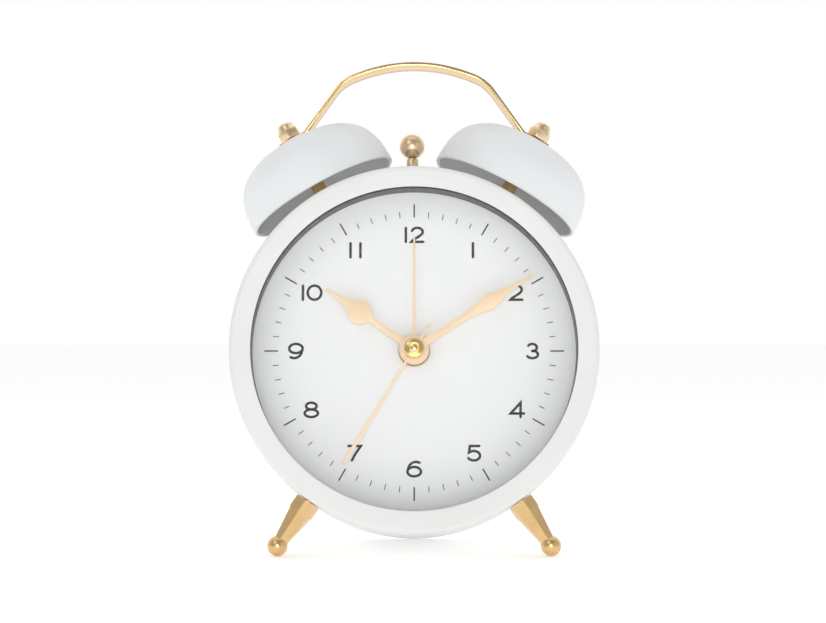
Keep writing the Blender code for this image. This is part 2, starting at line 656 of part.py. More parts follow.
def bezel_seat(clearance):
    """Outside of the bezel grown by a clearance, as a solid that shapes what seats on it."""
    rear, *front = bezel_section()[:BEZEL_ROUND_STEPS + 2]
    profile = [(0.0, rear[1] - OVERRUN), (rear[0] + clearance, rear[1] - OVERRUN)]
    profile += [(radius + clearance, height + clearance) for radius, height in front]
    profile.append((0.0, BEZEL_FACE_Z + clearance))
    return lathe(profile)


def build_case(clock):
    """Bezel, drum, glass, reveal ring, dial, inner frame and back cover with its screws."""
    bezel = lathe(bezel_section())
    for side in (-1, 1):
        hole = rod(LEG_STUD_RADIUS + GAP, BEZEL_BORE_RADIUS - OVERRUN, BEZEL_RADIUS + OVERRUN)
        bezel = cut(bezel, along_radial(hole, 180.0 - side * LEG_ANGLE, LEG_Z))
    piece("bezel_ring", bezel, "white_enamel", clock)

    drum = lathe([(DRUM_RADIUS, DRUM_REAR_Z), (DRUM_RADIUS, DRUM_FRONT_Z),
                  (DRUM_BORE_RADIUS, DRUM_FRONT_Z), (DRUM_BORE_RADIUS, DRUM_REAR_Z)])
    for side in (-1, 1):
        hole = rod(POST_STUD_RADIUS + GAP, DRUM_BORE_RADIUS - OVERRUN, DRUM_RADIUS + OVERRUN)
        drum = cut(drum, along_radial(hole, side * BELL_ANGLE, BELL_Z))
    reach = (DRUM_RADIUS - HAMMER_PIVOT_Y) * math.tan(math.radians(HAMMER_SWING + HAMMER_REST))
    slot_half = reach + HAMMER_ARM_RADIUS + 2 * GAP
    slot = rounded_block(slot_half, HAMMER_ARM_RADIUS + 2 * GAP, HAMMER_ARM_RADIUS,
                         DRUM_BORE_RADIUS - 2 * MM, DRUM_RADIUS + OVERRUN)
    drum = cut(drum, along_radial(slot, 0.0, BELL_Z))
    piece("case_drum", drum, "white_enamel", clock)

    glass = lathe([(0.0, GLASS_REAR_Z), (SEAT_RADIUS, GLASS_REAR_Z),
                   (SEAT_RADIUS, GLASS_FRONT_Z), (0.0, GLASS_FRONT_Z)])
    piece("front_glass", glass, "clear_glass", clock)

    reveal = lathe([(SEAT_RADIUS - REVEAL_WALL, GAP), (SEAT_RADIUS, GAP),
                    (SEAT_RADIUS, REVEAL_FRONT_Z), (SEAT_RADIUS - REVEAL_WALL, REVEAL_FRONT_Z)])
    piece("reveal_ring", reveal, "dark_plastic", clock)

    dial = lathe([(BUSH_RADIUS + GAP, -DIAL_THICKNESS), (SEAT_RADIUS, -DIAL_THICKNESS),
                  (SEAT_RADIUS, 0.0), (BUSH_RADIUS + GAP, 0.0)])
    piece("dial_plate", dial, "dial_paint", clock)

    frame = lathe([(FRAME_INNER_RADIUS, FRAME_REAR_Z), (SEAT_RADIUS, FRAME_REAR_Z),
                   (SEAT_RADIUS, BEHIND_DIAL_Z), (FRAME_INNER_RADIUS, BEHIND_DIAL_Z)])
    for angle in FRAME_POST_ANGLES:
        place = polar(FRAME_POST_CIRCLE, angle)
        overlap = FRAME_THICKNESS / 2
        frame = fuse(frame, rod(FRAME_POST_RADIUS, FRAME_POST_END_Z, FRAME_REAR_Z + overlap, centre=place))
        pilot_end = FRAME_POST_END_Z + SCREW_LENGTH
        frame = cut(frame, rod(SCREW_RADIUS + GAP, FRAME_POST_END_Z - OVERRUN, pilot_end, centre=place))
    piece("inner_frame", frame, "grey_plastic", clock)

    build_back_cover(clock)


def build_back_cover(clock):
    """Back cover with its openings, and the three screws that hold it."""
    cover = lathe([(0.0, PANEL_REAR_Z), (COVER_PANEL_RADIUS, PANEL_REAR_Z),
                   (COVER_PANEL_RADIUS + COVER_EDGE, CASE_REAR_Z),
                   (DRUM_RADIUS - COVER_CHAMFER, CASE_REAR_Z),
                   (DRUM_RADIUS, CASE_REAR_Z + COVER_CHAMFER), (DRUM_RADIUS, COVER_FLANGE_Z),
                   (SPIGOT_RADIUS, COVER_FLANGE_Z),
                   (SPIGOT_RADIUS, COVER_FLANGE_Z + COVER_SPIGOT_LENGTH),
                   (SPIGOT_RADIUS - COVER_SPIGOT_WALL, COVER_FLANGE_Z + COVER_SPIGOT_LENGTH),
                   (SPIGOT_RADIUS - COVER_SPIGOT_WALL, PANEL_FRONT_Z), (0.0, PANEL_FRONT_Z)])
    through = (PANEL_REAR_Z - OVERRUN, PANEL_FRONT_Z + OVERRUN)
    doorway = block(DOORWAY_HALF_LENGTH, DOORWAY_HALF_HEIGHT, *through, centre=(0.0, TRAY_Y))
    shaft_holes = [rod(KNOB_SHAFT_RADIUS + GAP, *through, centre=place) for place in (TIME_KNOB, ALARM_KNOB)]
    slot = block(SWITCH_STEM[0] / 2 + SWITCH_TRAVEL / 2 + GAP, SWITCH_STEM[1] / 2 + GAP, *through,
                 centre=(0.0, SWITCH_Y))
    cover = cut(cover, doorway, slot, *shaft_holes)
    head_seat_z = PANEL_REAR_Z + SCREW_HEAD_HEIGHT / 2
    for angle in FRAME_POST_ANGLES:
        place = polar(FRAME_POST_CIRCLE, angle)
        cover = cut(cover, rod(SCREW_RADIUS + GAP, *through, centre=place),
                    rod(SCREW_HEAD_RADIUS + GAP, CASE_REAR_Z - OVERRUN, head_seat_z, centre=place))
    piece("back_cover", cover, "white_plastic", clock)

    for number, angle in enumerate(FRAME_POST_ANGLES, 1):
        x, y = polar(FRAME_POST_CIRCLE, angle)
        head_top = -GAP - SCREW_HEAD_HEIGHT
        screw = lathe([(0.0, head_top), (SCREW_HEAD_RADIUS * 0.75, head_top),
                       (SCREW_HEAD_RADIUS, head_top + SCREW_HEAD_ROUND), (SCREW_HEAD_RADIUS, -GAP),
                       (SCREW_RADIUS, -GAP), (SCREW_RADIUS, SCREW_LENGTH - PILOT_SPARE - SCREW_POINT),
                       (0.0, SCREW_LENGTH - PILOT_SPARE)], STEPS_SMALL)
        screw = cut(screw, block(SCREW_HEAD_RADIUS + OVERRUN, SCREW_SLOT[0] / 2, head_top - OVERRUN,
                                 head_top + SCREW_SLOT[1]))
        piece(f"back_cover_screw_{number}", screw, "steel", clock, (x, y, head_seat_z))


# ---------------------------------------------------------------- legs

def build_legs(clock):
    """Two hexagonal front legs that screw into the bezel and end in ball feet."""
    for name, side in (("left", -1), ("right", 1)):
        clockwise = 180.0 - side * LEG_ANGLE
        axis = radial_axis(f"leg_axis_{name}", clock, clockwise, LEG_Z)
        twist = side * LEG_TWIST
        shank = bmesh.new()
        rings = []
        levels = ((BEZEL_RADIUS - 3 * OVERRUN, LEG_HEX_RADIUS), (LEG_COLLAR_END, LEG_HEX_RADIUS),
                  (LEG_COLLAR_END + LEG_STEP, LEG_HEX_RADIUS - 0.6 * LEG_STEP), (LEG_TAPER_END, LEG_TIP_RADIUS))
        for height, radius in levels:
            rings.append([shank.verts.new((x, y, height)) for x, y in hexagon(radius, twist)])
        for lower, upper in zip(rings, rings[1:]):
            for i in range(6):
                shank.faces.new((lower[i], lower[(i + 1) % 6], upper[(i + 1) % 6], upper[i]))
        shank.faces.new(list(reversed(rings[0])))
        shank.faces.new(rings[-1])

        # the collar's root follows the bezel's rounded edge
        shank = cut(shank, turned(bezel_seat(GAP), radial_frame(clockwise, LEG_Z).inverted()))

        ball = bmesh.new()
        bmesh.ops.create_uvsphere(ball, u_segments=16, v_segments=10, radius=LEG_BALL_RADIUS)
        ball = turned(ball, Matrix.Translation((0, 0, LEG_BALL_DISTANCE)))
        stud = rod(LEG_STUD_RADIUS, BEZEL_RADIUS - LEG_STUD_LENGTH, BEZEL_RADIUS + OVERRUN)
        piece(f"leg_{name}", fuse(shank, ball, stud), "brushed_gold", axis)


# ---------------------------------------------------------------- bells and handle

def dome(radius, height, steps=8):
    """Superellipse from the rim towards the apex, as radius and height."""
    power = 2.0 / BELL_ROUNDNESS
    points = []
    for i in range(steps):
        turn = math.pi / 2 * i / steps
        points.append((radius * math.cos(turn) ** power, height * math.sin(turn) ** power))
    return points


def build_bells(clock):
    """Bells on their posts, with washers, finial nuts and the nuts inside the drum."""
    hole = POST_STUD_RADIUS + GAP
    outside = dome(BELL_RADIUS, BELL_HEIGHT) + [(hole, BELL_HEIGHT)]
    inside = dome(BELL_RADIUS - BELL_WALL, BELL_HEIGHT - BELL_WALL) + [(hole, BELL_HEIGHT - BELL_WALL)]
    inner_apex = BELL_APEX - BELL_WALL
    washer_top = inner_apex - GAP
    post_top = washer_top - WASHER_THICKNESS - GAP
    post_foot = DRUM_RADIUS + GAP
    nut_top = DRUM_BORE_RADIUS - 2 * GAP
    for name, side in (("left", -1), ("right", 1)):
        axis = radial_axis(f"bell_axis_{name}", clock, side * BELL_ANGLE, BELL_Z)
        bell = lathe(outside + inside[::-1], STEPS_BELL)
        piece(f"bell_{name}", bell, "bell_enamel", axis, (0, 0, BELL_RIM_DISTANCE))

        post = prism(hexagon(POST_HEX_RADIUS, 90.0), post_foot, post_top)
        stud = rod(POST_STUD_RADIUS, nut_top - POST_NUT_HEIGHT - OVERRUN, FINIAL_SEAT + FINIAL_THREAD_DEPTH - GAP)
        piece(f"bell_post_{name}", fuse(post, stud), "brushed_gold", axis)

        nut = cut(prism(hexagon(POST_NUT_RADIUS), nut_top - POST_NUT_HEIGHT, nut_top),
                  rod(hole, nut_top - POST_NUT_HEIGHT - OVERRUN, nut_top + OVERRUN))
        piece(f"post_nut_{name}", nut, "steel", axis)

        washer = lathe([(hole, washer_top - WASHER_THICKNESS), (WASHER_RADIUS, washer_top - WASHER_THICKNESS),
                        (WASHER_RADIUS, washer_top), (hole, washer_top)], STEPS_SMALL)
        piece(f"bell_washer_{name}", washer, "felt", axis)

        shoulder = FINIAL_SEAT + FINIAL_HEX_HEIGHT
        crown = FINIAL_SEAT + FINIAL_HEIGHT
        cone = FINIAL_TOP_RADIUS
        fall = FINIAL_DOME_HEIGHT
        cap = lathe([(0.0, FINIAL_SEAT + OVERRUN), (cone * 0.8, FINIAL_SEAT + OVERRUN), (cone * 1.25, shoulder),
                     (cone, crown - fall), (cone * 0.82, crown - 0.36 * fall), (cone * 0.45, crown - 0.07 * fall),
                     (0.0, crown)], STEPS_SMALL)
        body = prism(hexagon(FINIAL_HEX_RADIUS, 20.0), FINIAL_SEAT, shoulder)
        nut = cut(fuse(body, cap), rod(hole, FINIAL_SEAT - OVERRUN, FINIAL_SEAT + FINIAL_THREAD_DEPTH))
        piece(f"finial_nut_{name}", nut, "polished_gold", axis)


def strap_side():
    """Corners of the right half of the handle's outer face, from the tab to the crown."""
    turn = math.radians(BELL_ANGLE)
    out = Vector((math.sin(turn), math.cos(turn)))
    down = Vector((math.cos(turn), -math.sin(turn)))
    seat = out * (STRAP_SEAT + STRAP_THICKNESS)
    tab_end = seat + down * STRAP_TAB_OUTER
    bend = seat - down * STRAP_TAB_INNER
    slope = math.radians(STRAP_CROWN_SLOPE)
    crown_middle = STRAP_CROWN_TOP - STRAP_CROWN_RADIUS
    crown = Vector((0.0, crown_middle + STRAP_CROWN_RADIUS / math.cos(slope)))
    leg_slope = math.radians(STRAP_LEG_SLOPE)
    leg = Vector((-math.cos(leg_slope), math.sin(leg_slope)))
    fall = Vector((math.cos(slope), -math.sin(slope)))
    # where the leg's line from the bend meets the crown's line
    across = bend - crown
    along = (across.x * leg.y - across.y * leg.x) / (fall.x * leg.y - fall.y * leg.x)
    shoulder = crown + fall * along
    return [(*tab_end, 0.0), (*bend, STRAP_BEND_RADIUS), (*shoulder, STRAP_SHOULDER_RADIUS),
            (*crown, STRAP_CROWN_RADIUS)]


def build_handle(clock):
    """Handle strap with a hole in each tab for the bell posts' studs."""
    right = strap_side()
    left = [(-x, y, radius) for x, y, radius in right[:-1]]
    outer = fillet_path(left + [right[-1]] + right[-2::-1])
    inner = offset_path(outer, STRAP_THICKNESS)
    outline = [tuple(p) for p in outer] + [tuple(p) for p in reversed(inner)]
    strap = prism(outline, BELL_Z - STRAP_WIDTH / 2, BELL_Z + STRAP_WIDTH / 2)
    for side in (-1, 1):
        hole = rod(POST_STUD_RADIUS + GAP, STRAP_SEAT - OVERRUN, STRAP_SEAT + STRAP_THICKNESS + OVERRUN)
        strap = cut(strap, along_radial(hole, side * BELL_ANGLE, BELL_Z))
    piece("carry_handle", strap, "brushed_gold", clock)


# ---------------------------------------------------------------- striker

def build_striker(clock):
    """Hammer on its shaft, the coil actuator that swings it, and the bracket."""
    pivot = empty("hammer_axis", clock, (0.0, HAMMER_PIVOT_Y, BELL_Z), spin=HAMMER_REST)
    hub_low, hub_high = -HAMMER_HUB_LENGTH / 2, HAMMER_HUB_LENGTH / 2
    reach = HAMMER_BALL_Y - HAMMER_PIVOT_Y
    neck_top = reach - HAMMER_BALL_RADIUS + GAP / 2
    upright = Matrix.Rotation(math.radians(-90.0), 4, "X")
    stem_end = reach - HAMMER_BALL_RADIUS / 2
    arm = turned(rod(HAMMER_ARM_RADIUS, HAMMER_HUB_RADIUS / 2, stem_end), upright)
    neck = turned(rod(HAMMER_NECK_RADIUS, neck_top - HAMMER_NECK_LENGTH, neck_top - GAP), upright)
    hub = rod(HAMMER_HUB_RADIUS, hub_low, hub_high)
    arm = cut(fuse(hub, arm, neck), rod(HAMMER_SHAFT_RADIUS + GAP, hub_low - OVERRUN, hub_high + OVERRUN))
    piece("hammer_arm", arm, "brushed_gold", pivot)

    ball = bmesh.new()
    bmesh.ops.create_uvsphere(ball, u_segments=18, v_segments=12, radius=HAMMER_BALL_RADIUS)
    ball = turned(ball, Matrix.Translation((0, reach, 0)))
    socket = turned(rod(HAMMER_ARM_RADIUS + GAP, reach - 2 * HAMMER_BALL_RADIUS, stem_end + GAP), upright)
    piece("hammer_ball", cut(ball, socket), "polished_gold", pivot)

    can_rear = ACTUATOR_FRONT_Z - ACTUATOR_LENGTH
    shaft = rod(HAMMER_SHAFT_RADIUS, can_rear + ACTUATOR_WALL + GAP - BELL_Z, hub_high + SHAFT_PROUD)
    piece("hammer_shaft", shaft, "steel", pivot)

    pivot_place = (0.0, HAMMER_PIVOT_Y)
    can = rod(ACTUATOR_RADIUS, can_rear, ACTUATOR_FRONT_Z, 24, pivot_place)
    bore = rod(HAMMER_SHAFT_RADIUS + GAP, can_rear + ACTUATOR_WALL, ACTUATOR_FRONT_Z + OVERRUN, centre=pivot_place)
    piece("strike_actuator", cut(can, bore), "steel", clock)

    plate_high = ACTUATOR_FRONT_Z + GAP + BRACKET_THICKNESS
    middle_y = (BRACKET_LOW_Y + BRACKET_HIGH_Y) / 2
    half_y = (BRACKET_HIGH_Y - BRACKET_LOW_Y) / 2
    bracket = block(BRACKET_HALF_WIDTH, half_y, ACTUATOR_FRONT_Z + GAP, plate_high, (0.0, middle_y))
    for side in (-1, 1):
        centre = (side * (BRACKET_HALF_WIDTH - BRACKET_THICKNESS / 2), middle_y)
        leg_half = BRACKET_LEG_WIDTH / 2
        bracket = fuse(bracket, block(BRACKET_THICKNESS / 2, leg_half, plate_high - BRACKET_THICKNESS / 2,
                                      FRAME_REAR_Z - GAP, centre))
    bore = rod(HAMMER_SHAFT_RADIUS + GAP, ACTUATOR_FRONT_Z - OVERRUN, plate_high + OVERRUN, centre=pivot_place)
    piece("actuator_bracket", cut(bracket, bore), "steel", clock)


# ---------------------------------------------------------------- movement

def build_movement(clock):
    """Movement housing and the fixed pieces inside it."""
    corner = MOVEMENT_CORNER
    inner_x = MOVEMENT_HALF_WIDTH - MOVEMENT_WALL
    inner_y = MOVEMENT_HALF_HEIGHT - MOVEMENT_WALL
    housing = rounded_block(MOVEMENT_HALF_WIDTH, MOVEMENT_HALF_HEIGHT, corner, MOVEMENT_REAR_Z, BEHIND_DIAL_Z)
    hollow = rounded_block(inner_x, inner_y, corner - MOVEMENT_WALL / 2, MOVEMENT_REAR_Z - OVERRUN, MOVEMENT_INSIDE_Z)
    housing = cut(housing, hollow)
    housing = fuse(housing, rod(BUSH_RADIUS, MOVEMENT_INSIDE_Z + MOVEMENT_WALL / 3, BUSH_TOP_Z))
    housing = cut(housing, rod(BUSH_BORE_RADIUS, MOVEMENT_INSIDE_Z - OVERRUN, BUSH_TOP_Z + OVERRUN))
    piece("movement_housing", housing, "grey_plastic", clock)

    lid_high = MOVEMENT_REAR_Z - GAP
    lid = rounded_block(MOVEMENT_HALF_WIDTH, MOVEMENT_HALF_HEIGHT, corner, lid_high - MOVEMENT_COVER, lid_high)
    for place in (TIME_KNOB, ALARM_KNOB):
        lid = cut(lid, rod(KNOB_SHAFT_RADIUS + GAP, lid_high - MOVEMENT_COVER - OVERRUN, lid_high + OVERRUN, centre=place))
    piece("movement_lid", lid, "grey_plastic", clock)

    nut = lathe([(BUSH_RADIUS + GAP, GAP), (DIAL_NUT_RADIUS, GAP), (DIAL_NUT_RADIUS, GAP + DIAL_NUT_HEIGHT * 0.8),
                 (DIAL_NUT_RADIUS - 0.2 * MM, GAP + DIAL_NUT_HEIGHT),
                 (BUSH_RADIUS + GAP, GAP + DIAL_NUT_HEIGHT)], STEPS_COLLET)
    piece("dial_nut", nut, "polished_gold", clock)

    board_low = MOVEMENT_REAR_Z + BOARD_STANDOFF
    board_high = board_low + BOARD_THICKNESS
    board = block(*BOARD_HALF_SIZE, board_low, board_high, (0.0, BOARD_Y))
    piece("circuit_board", board, "circuit_green", clock)
    crystal = rod(CRYSTAL_RADIUS, -CRYSTAL_LENGTH / 2, CRYSTAL_LENGTH / 2, 16)
    crystal = turned(crystal, Matrix.Rotation(math.radians(90.0), 4, "Y"))
    piece("quartz_crystal", crystal, "nickel", clock, (0.0, CRYSTAL_Y, board_high + GAP + CRYSTAL_RADIUS))
    chip_low = board_high + GAP
    chip = block(CHIP_HALF_WIDTH, CHIP_HALF_WIDTH, chip_low, chip_low + CHIP_THICKNESS, (0.0, CHIP_Y))
    piece("driver_chip", chip, "dark_plastic", clock)

    # stepping motor: a laminated stator round the rotor, with its coil beyond the rotor
    rotor_x, rotor_y = ROTOR_AXIS
    stator_low = MOVEMENT_REAR_Z + GAP
    stator_high = stator_low + STATOR_THICKNESS
    stator = block(*STATOR_HALF_SIZE, stator_low, stator_high, (rotor_x, rotor_y - STATOR_DROP))
    coil_place = (rotor_x, rotor_y - COIL_DROP)
    window = block(*WINDOW_HALF_SIZE, stator_low - OVERRUN, stator_high + OVERRUN, coil_place)
    hole = rod(ROTOR_MAGNET_RADIUS + GAP, stator_low - OVERRUN, stator_high + OVERRUN, centre=ROTOR_AXIS)
    piece("motor_stator", cut(stator, window, hole), "steel", clock)
    coil_low = stator_high + GAP
    coil = block(*COIL_HALF_SIZE, coil_low, coil_low + COIL_HEIGHT, coil_place)
    piece("motor_coil", coil, "copper", clock)


def build_wheels(clock):
    """Hand tubes with their wheels, the motion wheel, the step wheel and the rotor."""
    thick = WHEEL_THICKNESS
    lapped = thick * (1.0 + PINION_LAP)

    # alarm tube and wheel, outermost
    axis = empty("alarm_axis", clock)
    wheel = gear(ALARM_MODULE, ALARM_WHEEL_TEETH, ALARM_WHEEL_Z, ALARM_WHEEL_Z + thick, KNOB_DROP)
    tube = rod(ALARM_TUBE_RADIUS, ALARM_WHEEL_Z + thick / 2, ALARM_HAND_Z + HAND_THICKNESS)
    bore = rod(HOUR_TUBE_RADIUS + GAP, ALARM_WHEEL_Z - OVERRUN, HUB_CAP_Z)
    piece("alarm_wheel", cut(fuse(wheel, tube), bore), "nylon", axis)

    # hour tube and wheel
    axis_hour = empty("hour_axis", clock)
    to_motion = direction(CENTRE, MOTION_AXIS)
    wheel = gear(HOUR_MODULE, HOUR_WHEEL_TEETH, HOUR_WHEEL_Z, HOUR_WHEEL_Z + thick, to_motion)
    tube = rod(HOUR_TUBE_RADIUS, HOUR_WHEEL_Z + thick / 2, HOUR_HAND_Z + HAND_THICKNESS)
    bore = rod(MINUTE_TUBE_RADIUS + GAP, HOUR_WHEEL_Z - OVERRUN, HUB_CAP_Z)
    piece("hour_wheel", cut(fuse(wheel, tube), bore), "nylon", axis_hour)

    # cannon pinion and minute tube
    axis_minute = empty("minute_axis", clock)
    pinion = gear(MOTION_MODULE, CANNON_TEETH, CANNON_Z, CANNON_Z + thick, to_motion)
    tube = rod(MINUTE_TUBE_RADIUS, CANNON_Z + thick / 2, MINUTE_HAND_Z + HAND_THICKNESS)
    bore = rod(SECOND_PIN_RADIUS + GAP, CANNON_Z - OVERRUN, HUB_CAP_Z)
    piece("cannon_pinion", cut(fuse(pinion, tube), bore), "brass", axis_minute)

    # motion wheel with its pinion, beside the hand tubes
    axis_motion = empty("motion_axis", clock, (*MOTION_AXIS, 0.0))
    wheel_phase = meshing_phase(CANNON_TEETH, to_motion, MOTION_WHEEL_TEETH, to_motion)
    pinion_phase = meshing_phase(HOUR_WHEEL_TEETH, to_motion, MOTION_PINION_TEETH, to_motion)
    wheel = gear(MOTION_MODULE, MOTION_WHEEL_TEETH, CANNON_Z, CANNON_Z + thick, wheel_phase)
    pinion = gear(HOUR_MODULE, MOTION_PINION_TEETH, CANNON_Z + thick / 2, HOUR_WHEEL_Z + lapped, pinion_phase)
    arbor = rod(ARBOR_RADIUS, CANNON_Z - ARBOR_END, HOUR_WHEEL_Z + thick + ARBOR_END / 2)
    piece("motion_wheel", fuse(wheel, pinion, arbor), "nylon", axis_motion)

    # second arbor and wheel
    axis_second = empty("second_axis", clock)
    wheel = gear(STEP_MODULE, SECOND_WHEEL_TEETH, SECOND_WHEEL_Z, SECOND_WHEEL_Z + thick, STEP_DIRECTION)
    pin = rod(SECOND_PIN_RADIUS, SECOND_WHEEL_Z - ARBOR_END, HUB_CAP_Z + HUB_CAP_BORE - GAP)
    piece("second_wheel", fuse(wheel, pin), "nylon", axis_second)

    # step wheel between the second wheel and the rotor
    axis_step = empty("step_axis", clock, (*STEP_AXIS, 0.0))
    pinion_phase = meshing_phase(SECOND_WHEEL_TEETH, STEP_DIRECTION, STEP_PINION_TEETH, STEP_DIRECTION)
    wheel = gear(STEP_MODULE, STEP_WHEEL_TEETH, STEP_WHEEL_Z, STEP_WHEEL_Z + thick, ROTOR_DIRECTION)
    pinion = gear(STEP_MODULE, STEP_PINION_TEETH, STEP_WHEEL_Z + thick / 2, SECOND_WHEEL_Z + lapped, pinion_phase)
    piece("step_wheel", fuse(wheel, pinion), "nylon", axis_step)

    # rotor: a magnet with a pinion on top
    axis_rotor = empty("rotor_axis", clock, (*ROTOR_AXIS, 0.0))
    phase = meshing_phase(STEP_WHEEL_TEETH, ROTOR_DIRECTION, ROTOR_TEETH, ROTOR_DIRECTION)
    magnet_low = MOVEMENT_REAR_Z + GAP
    magnet = rod(ROTOR_MAGNET_RADIUS, magnet_low, magnet_low + ROTOR_MAGNET_LENGTH)
    pinion = gear(STEP_MODULE, ROTOR_TEETH, magnet_low + ROTOR_MAGNET_LENGTH / 2, STEP_WHEEL_Z + lapped, phase)
    piece("motor_rotor", fuse(magnet, pinion), "steel", axis_rotor)
    return axis, axis_hour, axis_minute, axis_second, wheel_phase


# ---------------------------------------------------------------- hands

HOUR_SHAPE = ((0.13, 1.00), (0.485, 0.82), (0.500, 1.00), (0.522, 1.90), (0.552, 2.75), (0.590, 3.40),
              (0.628, 3.55), (0.662, 3.10), (0.710, 2.15), (0.770, 1.35), (0.835, 0.85), (0.900, 0.60),
              (0.985, 0.44))
MINUTE_SHAPE = ((0.08, 1.02), (0.375, 0.96), (0.450, 1.10), (0.525, 1.35), (0.590, 1.95), (0.635, 2.45),
                (0.700, 1.80), (0.765, 1.15), (0.825, 0.74), (0.885, 0.56), (0.985, 0.48))


def hand_outline(length, shape):
    """Outline of a hand along +Y, from its shares of the length and half widths in mm."""
    right = [(half * MM, share * length) for share, half in shape]
    tip_half = right[-1][0]
    tip_y = length - tip_half
    tip = [polar(tip_half, angle, (0.0, tip_y)) for angle in (0.0, 36.0, 72.0, 108.0, 144.0, 180.0)]
    return right[:-1] + tip + [(-x, y) for x, y in reversed(right[:-1])]


def collet(radius, bore, thickness=HAND_THICKNESS):
    """Ring at the root of a hand."""
    return lathe([(bore, 0.0), (radius, 0.0), (radius, thickness), (bore, thickness)], STEPS_COLLET)


def build_hands(clock, axes):
    """Alarm, hour, minute and second hands with the hub cap, each on its own axis."""
    axis_alarm, axis_hour, axis_minute, axis_second = axes

    root, tip = ALARM_NEEDLE_HALF_WIDTHS
    low = (ALARM_TUBE_RADIUS + GAP + ALARM_COLLET_RADIUS) / 2
    needle = [(-root, low), (root, low), (tip, ALARM_HAND_LENGTH), (-tip, ALARM_HAND_LENGTH)]
    hand = fuse(collet(ALARM_COLLET_RADIUS, ALARM_TUBE_RADIUS + GAP), prism(needle, 0.0, HAND_THICKNESS))
    piece("alarm_hand", hand, "hand_gold", axis_alarm, (0, 0, ALARM_HAND_Z), -TIME_ALARM_ANGLE)

    blade = prism(hand_outline(HOUR_HAND_LENGTH, HOUR_SHAPE), 0.0, HAND_THICKNESS)
    hand = fuse(collet(HOUR_COLLET_RADIUS, HOUR_TUBE_RADIUS + GAP), blade)
    hand = cut(hand, rod(HOUR_TUBE_RADIUS + GAP, -OVERRUN, OVERRUN, STEPS_COLLET))
    piece("hour_hand", hand, "hand_gold", axis_hour, (0, 0, HOUR_HAND_Z), -TIME_HOUR_ANGLE)

    blade = prism(hand_outline(MINUTE_HAND_LENGTH, MINUTE_SHAPE), 0.0, HAND_THICKNESS)
    hand = fuse(collet(MINUTE_COLLET_RADIUS, MINUTE_TUBE_RADIUS + GAP), blade)
    piece("minute_hand", hand, "hand_gold", axis_minute, (0, 0, MINUTE_HAND_Z), -TIME_MINUTE_ANGLE)

    tail, waist, belly, tip = SECOND_NEEDLE_HALF_WIDTHS
    belly_y = 0.77 * SECOND_HAND_LENGTH
    needle = [(-tail, -SECOND_HAND_TAIL), (tail, -SECOND_HAND_TAIL), (waist, 0.0), (belly, belly_y),
              (tip, SECOND_HAND_LENGTH), (-tip, SECOND_HAND_LENGTH), (-belly, belly_y), (-waist, 0.0)]
    hub = rod(SECOND_COLLET_RADIUS, 0.0, HAND_THICKNESS, STEPS_COLLET)
    hand = fuse(hub, prism(needle, 0.0, HAND_THICKNESS * 0.8))
    hand = cut(hand, rod(SECOND_PIN_RADIUS + GAP, -OVERRUN, OVERRUN))
    piece("second_hand", hand, "hand_gold", axis_second, (0, 0, SECOND_HAND_Z), -TIME_SECOND_ANGLE)

    profile = [(0.0, 0.0)]
    for i in range(4):
        turn = math.radians(22.5 * i)
        profile.append((HUB_CAP_RADIUS * math.cos(turn), HUB_CAP_HEIGHT * math.sin(turn)))
    profile.append((0.0, HUB_CAP_HEIGHT))
    bore = rod(SECOND_PIN_RADIUS + GAP, -OVERRUN, HUB_CAP_BORE)
    piece("hub_cap", cut(lathe(profile, STEPS_COLLET), bore), "polished_gold", axis_second, (0, 0, HUB_CAP_Z))


# ---------------------------------------------------------------- controls on the back

def build_knobs(clock, motion_phase):
    """Time-set and alarm-set knobs on shafts whose pinions reach into the movement."""
    knob_low = PANEL_REAR_Z - GAP - KNOB_HEIGHT
    valley = KNOB_RADIUS - KNOB_RIB_DEPTH
    top, foot = KNOB_RIB_SHARES
    towards_time = direction(MOTION_AXIS, TIME_KNOB)
    sets = (
        ("time_set", TIME_KNOB, MOTION_MODULE, SETTING_TEETH, CANNON_Z,
         meshing_phase(MOTION_WHEEL_TEETH, motion_phase, SETTING_TEETH, towards_time)),
        ("alarm_set", ALARM_KNOB, ALARM_MODULE, ALARM_PINION_TEETH, ALARM_WHEEL_Z,
         meshing_phase(ALARM_WHEEL_TEETH, KNOB_DROP, ALARM_PINION_TEETH, KNOB_DROP)),
    )
    for name, place, module, teeth, wheel_z, phase in sets:
        axis = empty(f"{name}_axis", clock, (*place, 0.0))
        shaft = rod(KNOB_SHAFT_RADIUS, knob_low + KNOB_HEIGHT / 2 + GAP, wheel_z + WHEEL_THICKNESS / 2)
        wheel = gear(module, teeth, wheel_z, wheel_z + WHEEL_THICKNESS, phase)
        piece(f"{name}_shaft", fuse(wheel, shaft), "nylon", axis)

        rim = []
        for i in range(KNOB_RIBS):
            pitch = 360.0 / KNOB_RIBS
            rim.append(polar(valley, pitch * (i - foot)))
            rim.append(polar(KNOB_RADIUS, pitch * (i - top)))
            rim.append(polar(KNOB_RADIUS, pitch * (i + top)))
            rim.append(polar(valley, pitch * (i + foot)))
        knob = prism(rim, knob_low + KNOB_CROWN_HEIGHT, knob_low + KNOB_HEIGHT)
        crown = rod(valley - KNOB_CROWN_INSET, knob_low, knob_low + KNOB_CROWN_HEIGHT + OVERRUN, 24)
        grip = cut(fuse(knob, crown), rod(KNOB_SHAFT_RADIUS + GAP, knob_low + KNOB_HEIGHT / 2,
                                          knob_low + KNOB_HEIGHT + OVERRUN))
        piece(f"{name}_knob", grip, "white_plastic", axis)


